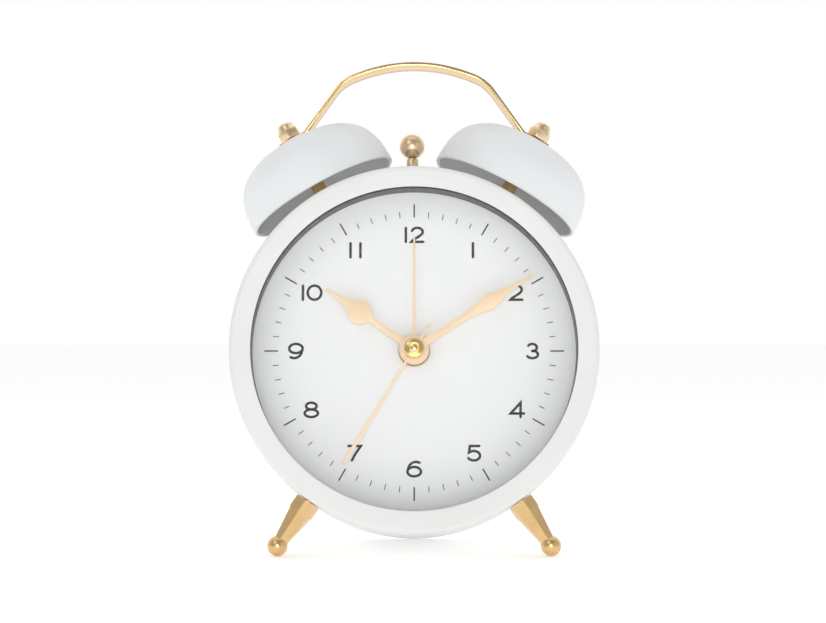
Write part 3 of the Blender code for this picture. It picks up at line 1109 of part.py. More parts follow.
def build_switch(clock):
    """Alarm on/off slide switch: a cap on the back with a stem through the panel."""
    cap_high = PANEL_REAR_Z - GAP
    cap_low = cap_high - SWITCH_CAP_HEIGHT
    stem_end = PANEL_FRONT_Z + SWITCH_STEM_REACH
    axis = empty("alarm_switch_axis", clock, (0.0, SWITCH_Y, 0.0))
    cap = rounded_block(SWITCH_CAP[0] / 2, SWITCH_CAP[1] / 2, SWITCH_CAP_CORNER, cap_low, cap_high)
    stem = block(SWITCH_STEM[0] / 2, SWITCH_STEM[1] / 2, cap_high - OVERRUN, stem_end)
    piece("alarm_switch", fuse(cap, stem), "dark_plastic", axis, (-SWITCH_TRAVEL / 2, 0.0, 0.0))

    box_low = stem_end + GAP
    body = block(*SWITCH_BODY_HALF_SIZE, box_low, box_low + SWITCH_BODY_DEPTH, (0.0, SWITCH_Y))
    piece("switch_body", body, "nickel", clock)


def build_battery(clock):
    """AA cell in its tray, the two contacts and the hinged door."""
    tray_low = PANEL_FRONT_Z + GAP
    tray = block(TRAY_HALF_LENGTH, TRAY_HALF_HEIGHT, tray_low, TRAY_FLOOR_Z, (0.0, TRAY_Y))
    inside = block(TRAY_HALF_LENGTH - TRAY_WALL, TRAY_HALF_HEIGHT - TRAY_WALL, tray_low - OVERRUN,
                   TRAY_FLOOR_Z - TRAY_WALL, (0.0, TRAY_Y))
    piece("battery_tray", cut(tray, inside), "grey_plastic", clock)

    half = BATTERY_LENGTH / 2
    body_end = half - BATTERY_NUB_LENGTH
    cell = lathe([(0.0, -half), (BATTERY_RADIUS - BATTERY_CHAMFER, -half), (BATTERY_RADIUS, -half + BATTERY_CHAMFER),
                  (BATTERY_RADIUS, body_end - BATTERY_CHAMFER), (BATTERY_RADIUS - BATTERY_CHAMFER, body_end),
                  (BATTERY_NUB_RADIUS, body_end), (BATTERY_NUB_RADIUS, half), (0.0, half)], STEPS_COLLET)
    cell = turned(cell, Matrix.Rotation(math.radians(90.0), 4, "Y"))
    piece("battery_cell", cell, "battery_wrap", clock, (0.0, TRAY_Y, BATTERY_Z))

    for name, side in (("spring", -1), ("plate", 1)):
        near = half + GAP
        far = half + TRAY_END_ROOM - GAP
        depth = far - near if name == "spring" else CONTACT_THICKNESS
        radius = CONTACT_SPRING_RADIUS if name == "spring" else CONTACT_PLATE_RADIUS
        contact = turned(rod(radius, far - depth, far, 16), Matrix.Rotation(math.radians(90.0 * side), 4, "Y"))
        piece(f"contact_{name}", contact, "nickel", clock, (0.0, TRAY_Y, BATTERY_Z))

    hinge_y = TRAY_Y - DOORWAY_HALF_HEIGHT + GAP
    door_height = 2 * (DOORWAY_HALF_HEIGHT - GAP)
    hinge = empty("battery_door_axis", clock, (0.0, hinge_y, PANEL_REAR_Z))
    door = block(DOORWAY_HALF_LENGTH - GAP, door_height / 2, 0.0, DOOR_THICKNESS, (0.0, door_height / 2))
    grip = block(*DOOR_GRIP_HALF_SIZE, -OVERRUN, DOOR_GRIP_DEPTH, (0.0, door_height - DOOR_GRIP_INSET))
    piece("battery_door", cut(door, grip), "white_plastic", hinge)


# ---------------------------------------------------------------- whole clock

def stand_on_table(clock):
    """Put the lowest point at Z = 0 and the middle of the depth at Y = 0."""
    bpy.context.view_layer.update()
    low_y, high_y, low_z = math.inf, -math.inf, math.inf
    for obj in bpy.data.objects:
        if obj.type != "MESH":
            continue
        for vertex in obj.data.vertices:
            point = obj.matrix_world @ vertex.co
            low_y, high_y = min(low_y, point.y), max(high_y, point.y)
            low_z = min(low_z, point.z)
    clock.location = (0.0, -(low_y + high_y) / 2, -low_z)
    bpy.context.view_layer.update()


def main():
    """Build the clock."""
    for obj in list(bpy.data.objects):
        bpy.data.objects.remove(obj)
    lean = lean_angle()
    clock = empty("clock_frame")
    clock.rotation_euler = (math.pi / 2 - lean, 0.0, 0.0)
    build_case(clock)
    build_legs(clock)
    build_bells(clock)
    build_handle(clock)
    build_striker(clock)
    build_movement(clock)
    *hand_axes, motion_phase = build_wheels(clock)
    build_hands(clock, hand_axes)
    build_knobs(clock, motion_phase)
    build_switch(clock)
    build_battery(clock)
    stand_on_table(clock)


main()
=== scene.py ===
"""Twin-bell quartz alarm clock: fine meshes, finishes, studio and camera.

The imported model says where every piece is. The clock leans back on its feet, so each shape is
modelled in the clock's own frame (X to the right, Y up the dial, Z out of the dial, origin at the
middle of the dial's face) or about a radial axis of it, and is then laid into the row frame.
"""

import json
import logging
import math
from collections.abc import Sequence
from dataclasses import dataclass, field, replace
from enum import Enum, auto

import bmesh
import bpy
from bmesh.types import BMesh, BMVert
from bpy.types import Material, Node, NodeSocket, NodeTree, Object
from mathutils import Matrix, Vector


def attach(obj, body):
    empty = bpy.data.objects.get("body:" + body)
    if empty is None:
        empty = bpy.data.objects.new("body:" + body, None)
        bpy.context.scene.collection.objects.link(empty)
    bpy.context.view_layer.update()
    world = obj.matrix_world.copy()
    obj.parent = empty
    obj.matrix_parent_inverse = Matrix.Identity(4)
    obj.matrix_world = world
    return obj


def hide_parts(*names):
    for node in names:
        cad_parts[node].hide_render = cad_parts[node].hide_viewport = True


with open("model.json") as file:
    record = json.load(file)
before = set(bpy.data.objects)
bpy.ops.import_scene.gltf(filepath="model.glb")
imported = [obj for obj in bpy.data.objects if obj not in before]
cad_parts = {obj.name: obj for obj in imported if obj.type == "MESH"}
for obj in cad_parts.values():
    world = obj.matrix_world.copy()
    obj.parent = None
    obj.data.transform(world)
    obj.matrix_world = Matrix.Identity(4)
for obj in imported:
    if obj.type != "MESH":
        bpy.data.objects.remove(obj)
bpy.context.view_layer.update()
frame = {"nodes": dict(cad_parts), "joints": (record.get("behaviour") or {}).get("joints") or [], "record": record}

log = logging.getLogger("alarm_clock")
Point = tuple[float, float]

MM = 0.001
GAP = 0.3 * MM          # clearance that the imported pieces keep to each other
OVERRUN = 1.0 * MM      # how far a cutter runs past the face it cuts
LARGE_STEPS = 192       # rounding of the case and the dial
BELL_STEPS = 128
SMALL_STEPS = 48
CORNER_STEPS = 6
SHARP_ANGLE = 32.0      # degrees past which shading shows an edge
WELD = 1e-7             # distance in metres within which points are one


# ---------------------------------------------------------------- places

def dial_frame() -> Matrix:
    """Find the clock's own frame from the axis of its hands.

    Returns:
        The matrix from the clock's frame to the row frame.
    """
    turn = next(j for j in frame["joints"] if j["name"] == "minute_turn")
    out = -Vector(turn["axis"]).normalized()
    right = Vector((1.0, 0.0, 0.0))
    place = Matrix((right, out.cross(right), out)).transposed().to_4x4()
    place.translation = Vector(turn["pos_m"])
    return place


CLOCK = dial_frame()


def radial(clockwise: float, depth: float, distance: float = 0.0) -> Matrix:
    """Give the frame of a radial axis: Z outwards, Y to the front.

    Args:
        clockwise: Direction in degrees from twelve o'clock.
        depth: Place along the clock's Z axis.
        distance: Place along the radial axis itself.

    Returns:
        The matrix from the radial frame to the row frame.
    """
    turn = math.radians(clockwise)
    out = Vector((math.sin(turn), math.cos(turn), 0.0))
    side = Vector((-math.cos(turn), math.sin(turn), 0.0))
    local = Matrix((side, (0.0, 0.0, 1.0), out)).transposed().to_4x4()
    local.translation = out * distance + Vector((0.0, 0.0, depth))
    return CLOCK @ local


def shifted(x: float = 0.0, y: float = 0.0, z: float = 0.0) -> Matrix:
    """Give the clock's frame moved by a distance along its own axes."""
    return CLOCK @ Matrix.Translation((x, y, z))


def rotation(degrees: float, axis: str) -> Matrix:
    """Give a turn in degrees about a main axis."""
    return Matrix.Rotation(math.radians(degrees), 4, axis)


def raised(height: float) -> Matrix:
    """Give a move along Z."""
    return Matrix.Translation((0.0, 0.0, height))


def in_clock(place: Matrix) -> Matrix:
    """Turn a place in the row frame into one in the clock's own frame."""
    return CLOCK.inverted() @ place


def extent(node: str, place: Matrix = CLOCK) -> tuple[Vector, Vector]:
    """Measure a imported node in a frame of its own.

    Args:
        node: The node's name.
        place: The frame to measure in.

    Returns:
        The lowest and the highest corner in that frame.
    """
    back = place.inverted()
    points = [back @ v.co for v in frame["nodes"][node].data.vertices]
    low = Vector([min(p[i] for p in points) for i in range(3)])
    high = Vector([max(p[i] for p in points) for i in range(3)])
    return low, high


# ---------------------------------------------------------------- shapes

def polar(radius: float, degrees: float, middle: Point = (0.0, 0.0)) -> Point:
    """Give the point at a distance and direction from another."""
    turn = math.radians(degrees)
    return middle[0] + radius * math.cos(turn), middle[1] + radius * math.sin(turn)


def arc(middle: Point, radii: Point, start: float, end: float, steps: int) -> list[Point]:
    """Give the points of a round or oval arc.

    Args:
        middle: Centre of the arc.
        radii: Its radius along X and along Y.
        start: First direction in degrees.
        end: Last direction in degrees.
        steps: Number of chords.

    Returns:
        The points, both ends included.
    """
    turns = [math.radians(start + (end - start) * i / steps) for i in range(steps + 1)]
    return [(middle[0] + radii[0] * math.cos(t), middle[1] + radii[1] * math.sin(t)) for t in turns]


def rounded_rectangle(half_x: float, half_y: float, corner: float) -> list[Point]:
    """Give the outline of a rectangle with rounded corners, turning anticlockwise."""
    outline: list[Point] = []
    for quarter, (sx, sy) in enumerate(((1, 1), (-1, 1), (-1, -1), (1, -1))):
        start = 90.0 * quarter
        middle_turn = math.radians(start + 45.0)
        reach = corner * math.sqrt(2.0)
        middle = (sx * half_x - reach * math.cos(middle_turn),
                  sy * half_y - reach * math.sin(middle_turn))
        outline += arc(middle, (corner, corner), start, start + 90.0, CORNER_STEPS)
    return outline


def smooth_run(knots: Sequence[Point], steps: int = 6) -> list[Point]:
    """Draw a smooth curve through the knots of an outline.

    Args:
        knots: Points that the curve passes through.
        steps: Chords between one knot and the next.

    Returns:
        The points of the curve, both ends included.
    """
    ends = [knots[0], *knots, knots[-1]]
    points: list[Point] = []
    for a, b, c, d in zip(ends, ends[1:], ends[2:], ends[3:]):
        for i in range(steps):
            t = i / steps
            points.append(tuple(
                0.5 * (2 * b[k] + (c[k] - a[k]) * t
                       + (2 * a[k] - 5 * b[k] + 4 * c[k] - d[k]) * t * t
                       + (3 * b[k] - a[k] - 3 * c[k] + d[k]) * t ** 3) for k in (0, 1)))
    points.append(knots[-1])
    return points


def beside(path: Sequence[Point], distance: float) -> list[Point]:
    """Shift a line sideways, to the right of its direction of travel.

    Args:
        path: Points of the line.
        distance: How far to shift it.

    Returns:
        The shifted points.
    """
    points = [Vector(p) for p in path]
    shifted_points: list[Point] = []
    for i, point in enumerate(points):
        before = points[i - 1] if i else point
        after = points[i + 1] if i < len(points) - 1 else point
        runs = [(b - a).normalized() for a, b in ((before, point), (point, after))
                if (b - a).length > 0.0]
        normals = [Vector((run.y, -run.x)) for run in runs]
        mean = sum(normals, Vector((0.0, 0.0))).normalized()
        moved = point + mean * (distance / max(mean.dot(normals[0]), 0.3))
        shifted_points.append((moved.x, moved.y))
    return shifted_points


def filleted(corners: Sequence[tuple[float, float, float]], chord: float) -> list[Point]:
    """Round the inner corners of a line.

    Args:
        corners: X, Y and rounding radius of each corner.
        chord: Degrees that each chord of a rounding turns.

    Returns:
        The points of the rounded line.
    """
    path: list[Point] = [corners[0][:2]]
    for before, corner, after in zip(corners, corners[1:], corners[2:]):
        point = Vector(corner[:2])
        back = (Vector(before[:2]) - point).normalized()
        ahead = (Vector(after[:2]) - point).normalized()
        half = back.angle(ahead) / 2
        middle = point + (back + ahead).normalized() * (corner[2] / math.sin(half))
        first = point + back * (corner[2] / math.tan(half)) - middle
        last = point + ahead * (corner[2] / math.tan(half)) - middle
        sweep = math.copysign(math.pi - 2 * half, first.x * last.y - first.y * last.x)
        steps = max(3, round(abs(math.degrees(sweep)) / chord))
        for i in range(steps + 1):
            spoke = Matrix.Rotation(sweep * i / steps, 2) @ first
            path.append((middle.x + spoke.x, middle.y + spoke.y))
    path.append(corners[-1][:2])
    return path


def lathe(profile: Sequence[Point], steps: int = SMALL_STEPS) -> BMesh:
    """Turn an outline about Z into a closed solid.

    Args:
        profile: Radius and height of each point. The outline is closed, or starts and ends on
            the axis.
        steps: Number of facets round the axis.

    Returns:
        The solid.
    """
    bm = bmesh.new()
    verts = [bm.verts.new((radius, 0.0, height)) for radius, height in profile]
    edges = [bm.edges.new(pair) for pair in zip(verts, verts[1:])]
    if profile[0][0] > 0.0:
        edges.append(bm.edges.new((verts[-1], verts[0])))
    bmesh.ops.spin(bm, geom=verts + edges, cent=(0, 0, 0), axis=(0, 0, 1), angle=math.tau,
                   steps=steps, use_merge=True, use_duplicate=False)
    bmesh.ops.remove_doubles(bm, verts=bm.verts, dist=WELD)
    bmesh.ops.recalc_face_normals(bm, faces=bm.faces)
    return bm


def raise_faces(bm: BMesh, low: float, high: float) -> BMesh:
    """Extrude flat faces that lie at Z = low up to Z = high."""
    grown = bmesh.ops.extrude_face_region(bm, geom=list(bm.faces))
    top = [v for v in grown["geom"] if isinstance(v, BMVert)]
    bmesh.ops.translate(bm, verts=top, vec=(0.0, 0.0, high - low))
    bmesh.ops.recalc_face_normals(bm, faces=bm.faces)
    return bm


def plate(outline: Sequence[Point], low: float, high: float) -> BMesh:
    """Extrude an outline from one height to another."""
    bm = bmesh.new()
    bm.faces.new([bm.verts.new((x, y, low)) for x, y in outline])
    return raise_faces(bm, low, high)


def band(path: Sequence[Point], half: float, low: float, high: float) -> BMesh:
    """Make a flat band of even width along a line.

    Args:
        path: Middle of the band.
        half: Half its width.
        low: Height of its rear face.
        high: Height of its front face.

    Returns:
        The solid band.
    """
    right, left = (beside(path, distance) for distance in (half, -half))
    return plate(right + left[::-1], low, high)


def ball(radius: float, segments: int = SMALL_STEPS) -> BMesh:
    """Make a sphere at the origin."""
    bm = bmesh.new()
    bmesh.ops.create_uvsphere(bm, u_segments=segments, v_segments=segments // 2, radius=radius)
    return bm


def moved(bm: BMesh, matrix: Matrix) -> BMesh:
    """Move a shape by a matrix and give it back."""
    bmesh.ops.transform(bm, matrix=matrix, verts=bm.verts)
    return bm


def softened(bm: BMesh, radius: float, segments: int = 2, sharpest: float = 40.0) -> BMesh:
    """Round the sharp edges of a shape.

    Args:
        bm: The shape.
        radius: Width of the rounding.
        segments: Facets across the rounding.
        sharpest: Smallest angle in degrees between two faces that is rounded.

    Returns:
        The same shape.
    """
    limit = math.radians(sharpest)
    edges = [e for e in bm.edges if e.is_manifold and e.calc_face_angle(0.0) > limit]
    bmesh.ops.bevel(bm, geom=edges, offset=radius, offset_type="OFFSET", segments=segments,
                    profile=0.5, affect="EDGES", clamp_overlap=True, material=-1)
    return bm


def together(base: BMesh, *others: BMesh) -> BMesh:
    """Gather separate solids into one mesh."""
    for other in others:
        loose = bpy.data.meshes.new("part")
        other.to_mesh(loose)
        other.free()
        base.from_mesh(loose)
        bpy.data.meshes.remove(loose)
    return base


class Join(Enum):
    """How two solids combine."""

    CUT = "DIFFERENCE"
    FUSE = "UNION"


def combined(base: BMesh, join: Join, *tools: BMesh) -> BMesh:
    """Cut solids out of a solid, or fuse them to it.

    Args:
        base: The solid to work on.
        join: Whether to cut or to fuse.
        tools: The other solids, which are used up.

    Returns:
        The new solid.
    """
    for tool in tools:
        objects = []
        for shape in (base, tool):
            mesh = bpy.data.meshes.new("blank")
            shape.to_mesh(mesh)
            shape.free()
            objects.append(bpy.data.objects.new("blank", mesh))
            bpy.context.scene.collection.objects.link(objects[-1])
        modifier = objects[0].modifiers.new("join", "BOOLEAN")
        modifier.operation = join.value
        modifier.solver = "EXACT"
        modifier.object = objects[1]
        bpy.context.view_layer.update()
        evaluated = objects[0].evaluated_get(bpy.context.evaluated_depsgraph_get())
        base = bmesh.new()
        base.from_mesh(evaluated.to_mesh())
        evaluated.to_mesh_clear()
        for obj in objects:
            mesh = obj.data
            bpy.data.objects.remove(obj)
            bpy.data.meshes.remove(mesh)
        bmesh.ops.remove_doubles(base, verts=base.verts, dist=WELD)
    return base


# ---------------------------------------------------------------- finishes

def linear(code: str) -> tuple[float, float, float, float]:
    """Turn an sRGB hex colour into the linear values that a shader takes."""
    values = [int(code[i:i + 2], 16) / 255.0 for i in (1, 3, 5)]
    return (*(v / 12.92 if v <= 0.04045 else ((v + 0.055) / 1.055) ** 2.4 for v in values), 1.0)


def add(tree: NodeTree, kind: str, inputs: dict | None = None, **settings: object) -> Node:
    """Add one node with its settings, values and links.

    Args:
        tree: The tree that it joins.
        kind: The node's type.
        inputs: A value or another node's output for each input, by name or number.
        settings: Properties of the node.

    Returns:
        The new node.
    """
    node = tree.nodes.new(kind)
    for key, value in settings.items():
        setattr(node, key, value)
    for key, value in (inputs or {}).items():
        if isinstance(value, NodeSocket):
            tree.links.new(value, node.inputs[key])
        else:
            node.inputs[key].default_value = value
    return node


class Grain(Enum):
    """Fine relief that a process leaves on a surface."""

    PEEL = auto()       # low round waves of a sprayed or powdered coat
    SPARK = auto()      # crisp grit of a spark-eroded mould
    BRUSHED = auto()    # straight lines along the frame's Z axis
    ROLLED = auto()     # straight lines of drawn strip, side by side along the frame's X axis
    TURNED = auto()     # circles round the frame's Z axis
    PAPER = auto()      # fibres of a printed card
    WOUND = auto()      # turns of a wire or laminations, stacked along Z


@dataclass(frozen=True)
class Finish:
    """A real material and how its surface was made.

    Attributes:
        name: The material's common name.
        colour: Its main colour in sRGB hex.
        shade: The colour that slow patches drift towards.
        roughness: Mean roughness.
        spread: How far the roughness swings to each side.
        grain: Kind of fine relief.
        grain_mm: Size of one wave, line or fibre.
        depth_mm: Height of the relief.
        patch_mm: Size of the slow patches of colour.
        metallic: One for bare metal.
        coat: Weight of a clear coat.
        specular: Specular level of the shader.
        place: Frame that the relief is drawn in.
    """

    name: str
    colour: str
    shade: str
    roughness: float
    spread: float
    grain: Grain
    grain_mm: float
    depth_mm: float
    patch_mm: float = 18.0
    metallic: float = 0.0
    coat: float = 0.0
    specular: float = 0.5
    place: Matrix = field(default_factory=lambda: CLOCK)

    def millimetres(self, tree: NodeTree) -> NodeSocket:
        """Give the surface's place in millimetres, in the finish's own frame."""
        coords = add(tree, "ShaderNodeTexCoord")
        turn = self.place.to_3x3().normalized().to_euler()
        mapped = add(tree, "ShaderNodeMapping",
                     {"Vector": coords.outputs["Object"], "Location": self.place.translation,
                      "Rotation": turn, "Scale": (MM, MM, MM)}, vector_type="TEXTURE")
        return mapped.outputs["Vector"]

    def relief(self, tree: NodeTree, where: NodeSocket) -> NodeSocket:
        """Draw the fine relief.

        Args:
            tree: The material's tree.
            where: Place on the surface in millimetres.

        Returns:
            A height from zero to one.
        """
        size = 1.0 / self.grain_mm
        if self.grain in (Grain.BRUSHED, Grain.ROLLED):
            sideways = size if self.grain is Grain.BRUSHED else size / 45.0
            stretched = add(tree, "ShaderNodeVectorMath",
                            {0: where, 1: (size, sideways, size / 45.0)}, operation="MULTIPLY")
            lines = add(tree, "ShaderNodeTexNoise",
                        {"Vector": stretched.outputs[0], "Scale": 1.0, "Detail": 3.0})
            return lines.outputs["Fac"]
        if self.grain in (Grain.TURNED, Grain.WOUND):
            split = add(tree, "ShaderNodeSeparateXYZ", {0: where})
            flat = add(tree, "ShaderNodeCombineXYZ", {0: split.outputs[0], 1: split.outputs[1]})
            radius = add(tree, "ShaderNodeVectorMath", {0: flat.outputs[0]}, operation="LENGTH")
            if self.grain is Grain.WOUND:
                wave = add(tree, "ShaderNodeMath", {0: split.outputs[2], 1: size * math.pi},
                           operation="MULTIPLY")
                return add(tree, "ShaderNodeMath",
                           {0: add(tree, "ShaderNodeMath", {0: wave.outputs[0]},
                                                           operation="SINE").outputs[0]},
                           operation="ABSOLUTE").outputs[0]
            along = add(tree, "ShaderNodeMath", {0: radius.outputs["Value"], 1: split.outputs[2]})
            rings = add(tree, "ShaderNodeTexNoise",
                        {"W": along.outputs[0], "Scale": size, "Detail": 2.0},
                        noise_dimensions="1D")
            return rings.outputs["Fac"]
        detail = {Grain.PEEL: 1.0, Grain.SPARK: 4.0, Grain.PAPER: 6.0}[self.grain]
        waves = add(tree, "ShaderNodeTexNoise", {"Vector": where, "Scale": size, "Detail": detail,
                                                 "Roughness": 0.6})
        return waves.outputs["Fac"]

    def tone(self, tree: NodeTree, where: NodeSocket) -> NodeSocket:
        """Draw the colour, which drifts slowly from the main colour to the shade."""
        patches = add(tree, "ShaderNodeTexNoise",
                      {"Vector": where, "Scale": 1.0 / self.patch_mm, "Detail": 3.0})
        mixed = add(tree, "ShaderNodeMix", {0: patches.outputs["Fac"], 6: linear(self.colour),
                                            7: linear(self.shade)}, data_type="RGBA")
        return mixed.outputs[2]

    def material(self) -> Material:
        """Build the material, named for what it is."""
        made = bpy.data.materials.new(self.name)
        made.use_nodes = True
        tree = made.node_tree
        shader = tree.nodes["Principled BSDF"]
        where = self.millimetres(tree)
        relief = self.relief(tree, where)
        swing = add(tree, "ShaderNodeMapRange",
                    {"Value": relief, "From Min": 0.25, "From Max": 0.75,
                                                 "To Min": self.roughness - self.spread,
                                                 "To Max": self.roughness + self.spread})
        bump = add(tree, "ShaderNodeBump",
                   {"Height": relief, "Distance": self.depth_mm * MM, "Strength": 1.0})
        tree.links.new(self.tone(tree, where), shader.inputs["Base Color"])
        tree.links.new(swing.outputs[0], shader.inputs["Roughness"])
        tree.links.new(bump.outputs[0], shader.inputs["Normal"])
        shader.inputs["Metallic"].default_value = self.metallic
        shader.inputs["Coat Weight"].default_value = self.coat
        shader.inputs["Specular IOR Level"].default_value = self.specular
        made.diffuse_color = linear(self.colour)
        return made


@dataclass(frozen=True)
class ClearGlass(Finish):
    """Float glass: clear, with a faint grey body and the merest wipe marks."""

    opacity: float = 0.03

    def material(self) -> Material:
        """Build the glass, most of which light passes straight through."""
        made = super().material()
        shader = made.node_tree.nodes["Principled BSDF"]
        shader.inputs["Alpha"].default_value = self.opacity
        shader.inputs["IOR"].default_value = 1.52
        return made


@dataclass(frozen=True)
class Sleeve(Finish):
    """Battery sleeve: a shrunk plastic film in two colours that meet at a line across the cell.

    Attributes:
        cap_colour: Colour of the film at the positive end.
        meets_mm: Place along Z where the colours meet.
    """

    cap_colour: str = "#B06A34"
    meets_mm: float = 12.0

    def tone(self, tree: NodeTree, where: NodeSocket) -> NodeSocket:
        """Draw the two bands of the sleeve."""
        split = add(tree, "ShaderNodeSeparateXYZ", {0: where})
        beyond = add(tree, "ShaderNodeMath", {0: split.outputs[2], 1: self.meets_mm},
                     operation="GREATER_THAN")
        mixed = add(tree, "ShaderNodeMix", {0: beyond.outputs[0], 6: super().tone(tree, where),
                                            7: linear(self.cap_colour)}, data_type="RGBA")
        return mixed.outputs[2]


@dataclass(frozen=True)
class CircuitLaminate(Finish):
    """Glass-epoxy board under green solder mask, with paler tracks that show through it."""

    track_mm: float = 1.4

    def tone(self, tree: NodeTree, where: NodeSocket) -> NodeSocket:
        """Draw the board's mask with its tracks."""
        cells = add(tree, "ShaderNodeTexVoronoi", {"Vector": where, "Scale": 0.5 / self.track_mm},
                    feature="DISTANCE_TO_EDGE")
        edge = add(tree, "ShaderNodeMath", {0: cells.outputs["Distance"], 1: 0.12},
                   operation="LESS_THAN")
        mixed = add(tree, "ShaderNodeMix", {0: edge.outputs[0], 6: super().tone(tree, where),
                                            7: linear("#4E9A5A")}, data_type="RGBA")
        return mixed.outputs[2]


# Powder coat: an even satin white whose faint orange peel softens every highlight.
POWDER_COAT = Finish("Powder-coated steel, white", "#EFEFEE", "#E7E7E6", 0.46, 0.05, Grain.PEEL,
                     0.7, 0.0022)
# Enamelled bell: a cooler, smoother white that still shows no mirror image.
BELL_ENAMEL = Finish("Enamelled steel, cool white", "#EEF0F1", "#E7EAEB", 0.42, 0.05, Grain.PEEL,
                     0.8, 0.002)
# Moulded ABS: a slightly warmer white with the fine grit of its mould.
WHITE_ABS = Finish("Moulded ABS, white", "#E9E9E6", "#DFDFDB", 0.52, 0.07, Grain.SPARK, 0.22, 0.004)
# Grey structural plastic: dull, gritty and plainly out of sight.
GREY_ABS = Finish("Moulded ABS, grey", "#8A8C8E", "#7C7E80", 0.55, 0.08, Grain.SPARK, 0.25, 0.005)
# Polished dark plastic: a black ring that paints in the shade of the bezel's unlit inner wall round the dial.
PAINTED_SHADE_ABS = Finish("Polished ABS, black, as painted shade", "#1E1C1B", "#272423", 0.34, 0.06, Grain.PEEL, 1.2, 0.001,
                   specular=0.25)
# Dark switch cap: matt grip against the white panel.
SWITCH_ABS = Finish("Moulded ABS, black", "#262627", "#303032", 0.5, 0.08, Grain.SPARK, 0.2, 0.005)
# Printed card: flat, soft and fibrous, so that the hands stand out.
DIAL_CARD = Finish("Coated dial card", "#FAFBFC", "#F6F8F9", 0.72, 0.06, Grain.PAPER, 0.35, 0.002,
                   specular=0.25)
# Printing ink: charcoal rather than black, thin and dull.
DIAL_INK = Finish("Screen-printed ink, charcoal", "#242424", "#2E2E2D", 0.6, 0.06, Grain.PAPER, 0.2,
                  0.001,
                  specular=0.2)
# Float glass: clear, and only just there.
GLASS = ClearGlass("Float glass", "#F4F8F7", "#EDF3F1", 0.05, 0.02, Grain.PEEL, 6.0, 0.0002)
# Satin hands: a pale champagne paint that stays the same tone from every side.
HAND_PAINT = Finish("Champagne hand lacquer", "#FBE0BC", "#F8DAB2", 0.5, 0.08, Grain.SPARK, 0.15,
                    0.0012,
                    patch_mm=6.0, metallic=0.15)
# Brushed brass plate: pale gold, broken into fine bright and dark lines.
BRUSHED_BRASS = Finish("Brushed brass plate", "#EACB98", "#DCB67C", 0.30, 0.09, Grain.BRUSHED, 0.16,
                       0.004,
                       patch_mm=7.0, metallic=1.0)
# Rolled brass strip: long lines run the whole way over the handle.
ROLLED_BRASS = Finish("Rolled brass strip", "#EED2A0", "#E2BF84", 0.24, 0.08, Grain.ROLLED, 0.22,
                      0.003,
                      patch_mm=14.0, metallic=1.0)
# Turned brass: the circles left by the lathe spread each highlight into a fan.
TURNED_BRASS = Finish("Turned brass, lacquered", "#F2DCB8", "#E8CBA0", 0.32, 0.08, Grain.TURNED,
                      0.18, 0.004,
                      patch_mm=5.0, metallic=1.0)
# Polished brass: the brightest, smallest highlight, kept for the cap over the hands.
POLISHED_BRASS = Finish("Polished brass, lacquered", "#F6DA9C", "#EDCB84", 0.16, 0.04, Grain.TURNED,
                        0.3, 0.0015,
                        patch_mm=4.0, metallic=1.0, coat=0.4)
# Plated steel: a cold grey with faint rolling lines.
PLATED_STEEL = Finish("Zinc-plated steel", "#B9BCBE", "#A6AAAD", 0.32, 0.08, Grain.BRUSHED, 0.2,
                      0.003,
                      patch_mm=6.0, metallic=1.0)
# Stamped brass of the wheels: yellow and even.
WHEEL_BRASS = Finish("Stamped brass", "#D2AB5E", "#C29A4E", 0.34, 0.08, Grain.TURNED, 0.25, 0.003,
                     patch_mm=5.0, metallic=1.0)
# Wound copper: the turns of the wire catch the light one by one.
COPPER_WIRE = Finish("Enamelled copper wire", "#B5683A", "#9E562E", 0.33, 0.08, Grain.WOUND, 0.3,
                     0.06,
                     patch_mm=3.0, metallic=0.9)
# Nickel plate: bright, slightly warm contacts.
NICKEL = Finish("Nickel-plated steel", "#C9C4BA", "#B7B2A8", 0.25, 0.07, Grain.BRUSHED, 0.15, 0.002,
                patch_mm=4.0, metallic=1.0)
# Nylon: milky and soft-edged.
NYLON = Finish("Moulded nylon", "#DEDBCE", "#D3CFC0", 0.48, 0.06, Grain.SPARK, 0.25, 0.003)
# Fibre: a dead, dark cushion between the metals.
FIBRE = Finish("Vulcanised fibre", "#3A3634", "#46413E", 0.85, 0.06, Grain.PAPER, 0.3, 0.01)
# Circuit laminate: green mask with its tracks.
LAMINATE = CircuitLaminate("Glass-epoxy laminate", "#1F6B3A", "#1A5C32", 0.4, 0.06, Grain.PEEL, 0.8,
                           0.002)
# Shrunk sleeve: dark body and a copper-coloured end.
SLEEVE = Sleeve("Shrink sleeve, two colours", "#2B2C2F", "#35363A", 0.3, 0.06, Grain.PEEL, 1.5,
                0.002)

SLOT_FINISHES = {
    "white_enamel": POWDER_COAT, "bell_enamel": BELL_ENAMEL, "white_plastic": WHITE_ABS,
    "dial_card": DIAL_CARD, "clear_glass": GLASS, "dark_plastic": PAINTED_SHADE_ABS,
    "grey_plastic": GREY_ABS,
    "brushed_gold": BRUSHED_BRASS, "polished_gold": POLISHED_BRASS, "hand_paint": HAND_PAINT,
    "plated_steel": PLATED_STEEL, "brass": WHEEL_BRASS, "copper_wire": COPPER_WIRE,
    "nickel_plate": NICKEL, "nylon": NYLON, "circuit_board": LAMINATE, "battery_wrap": SLEEVE,
    "fibre_washer": FIBRE,
}


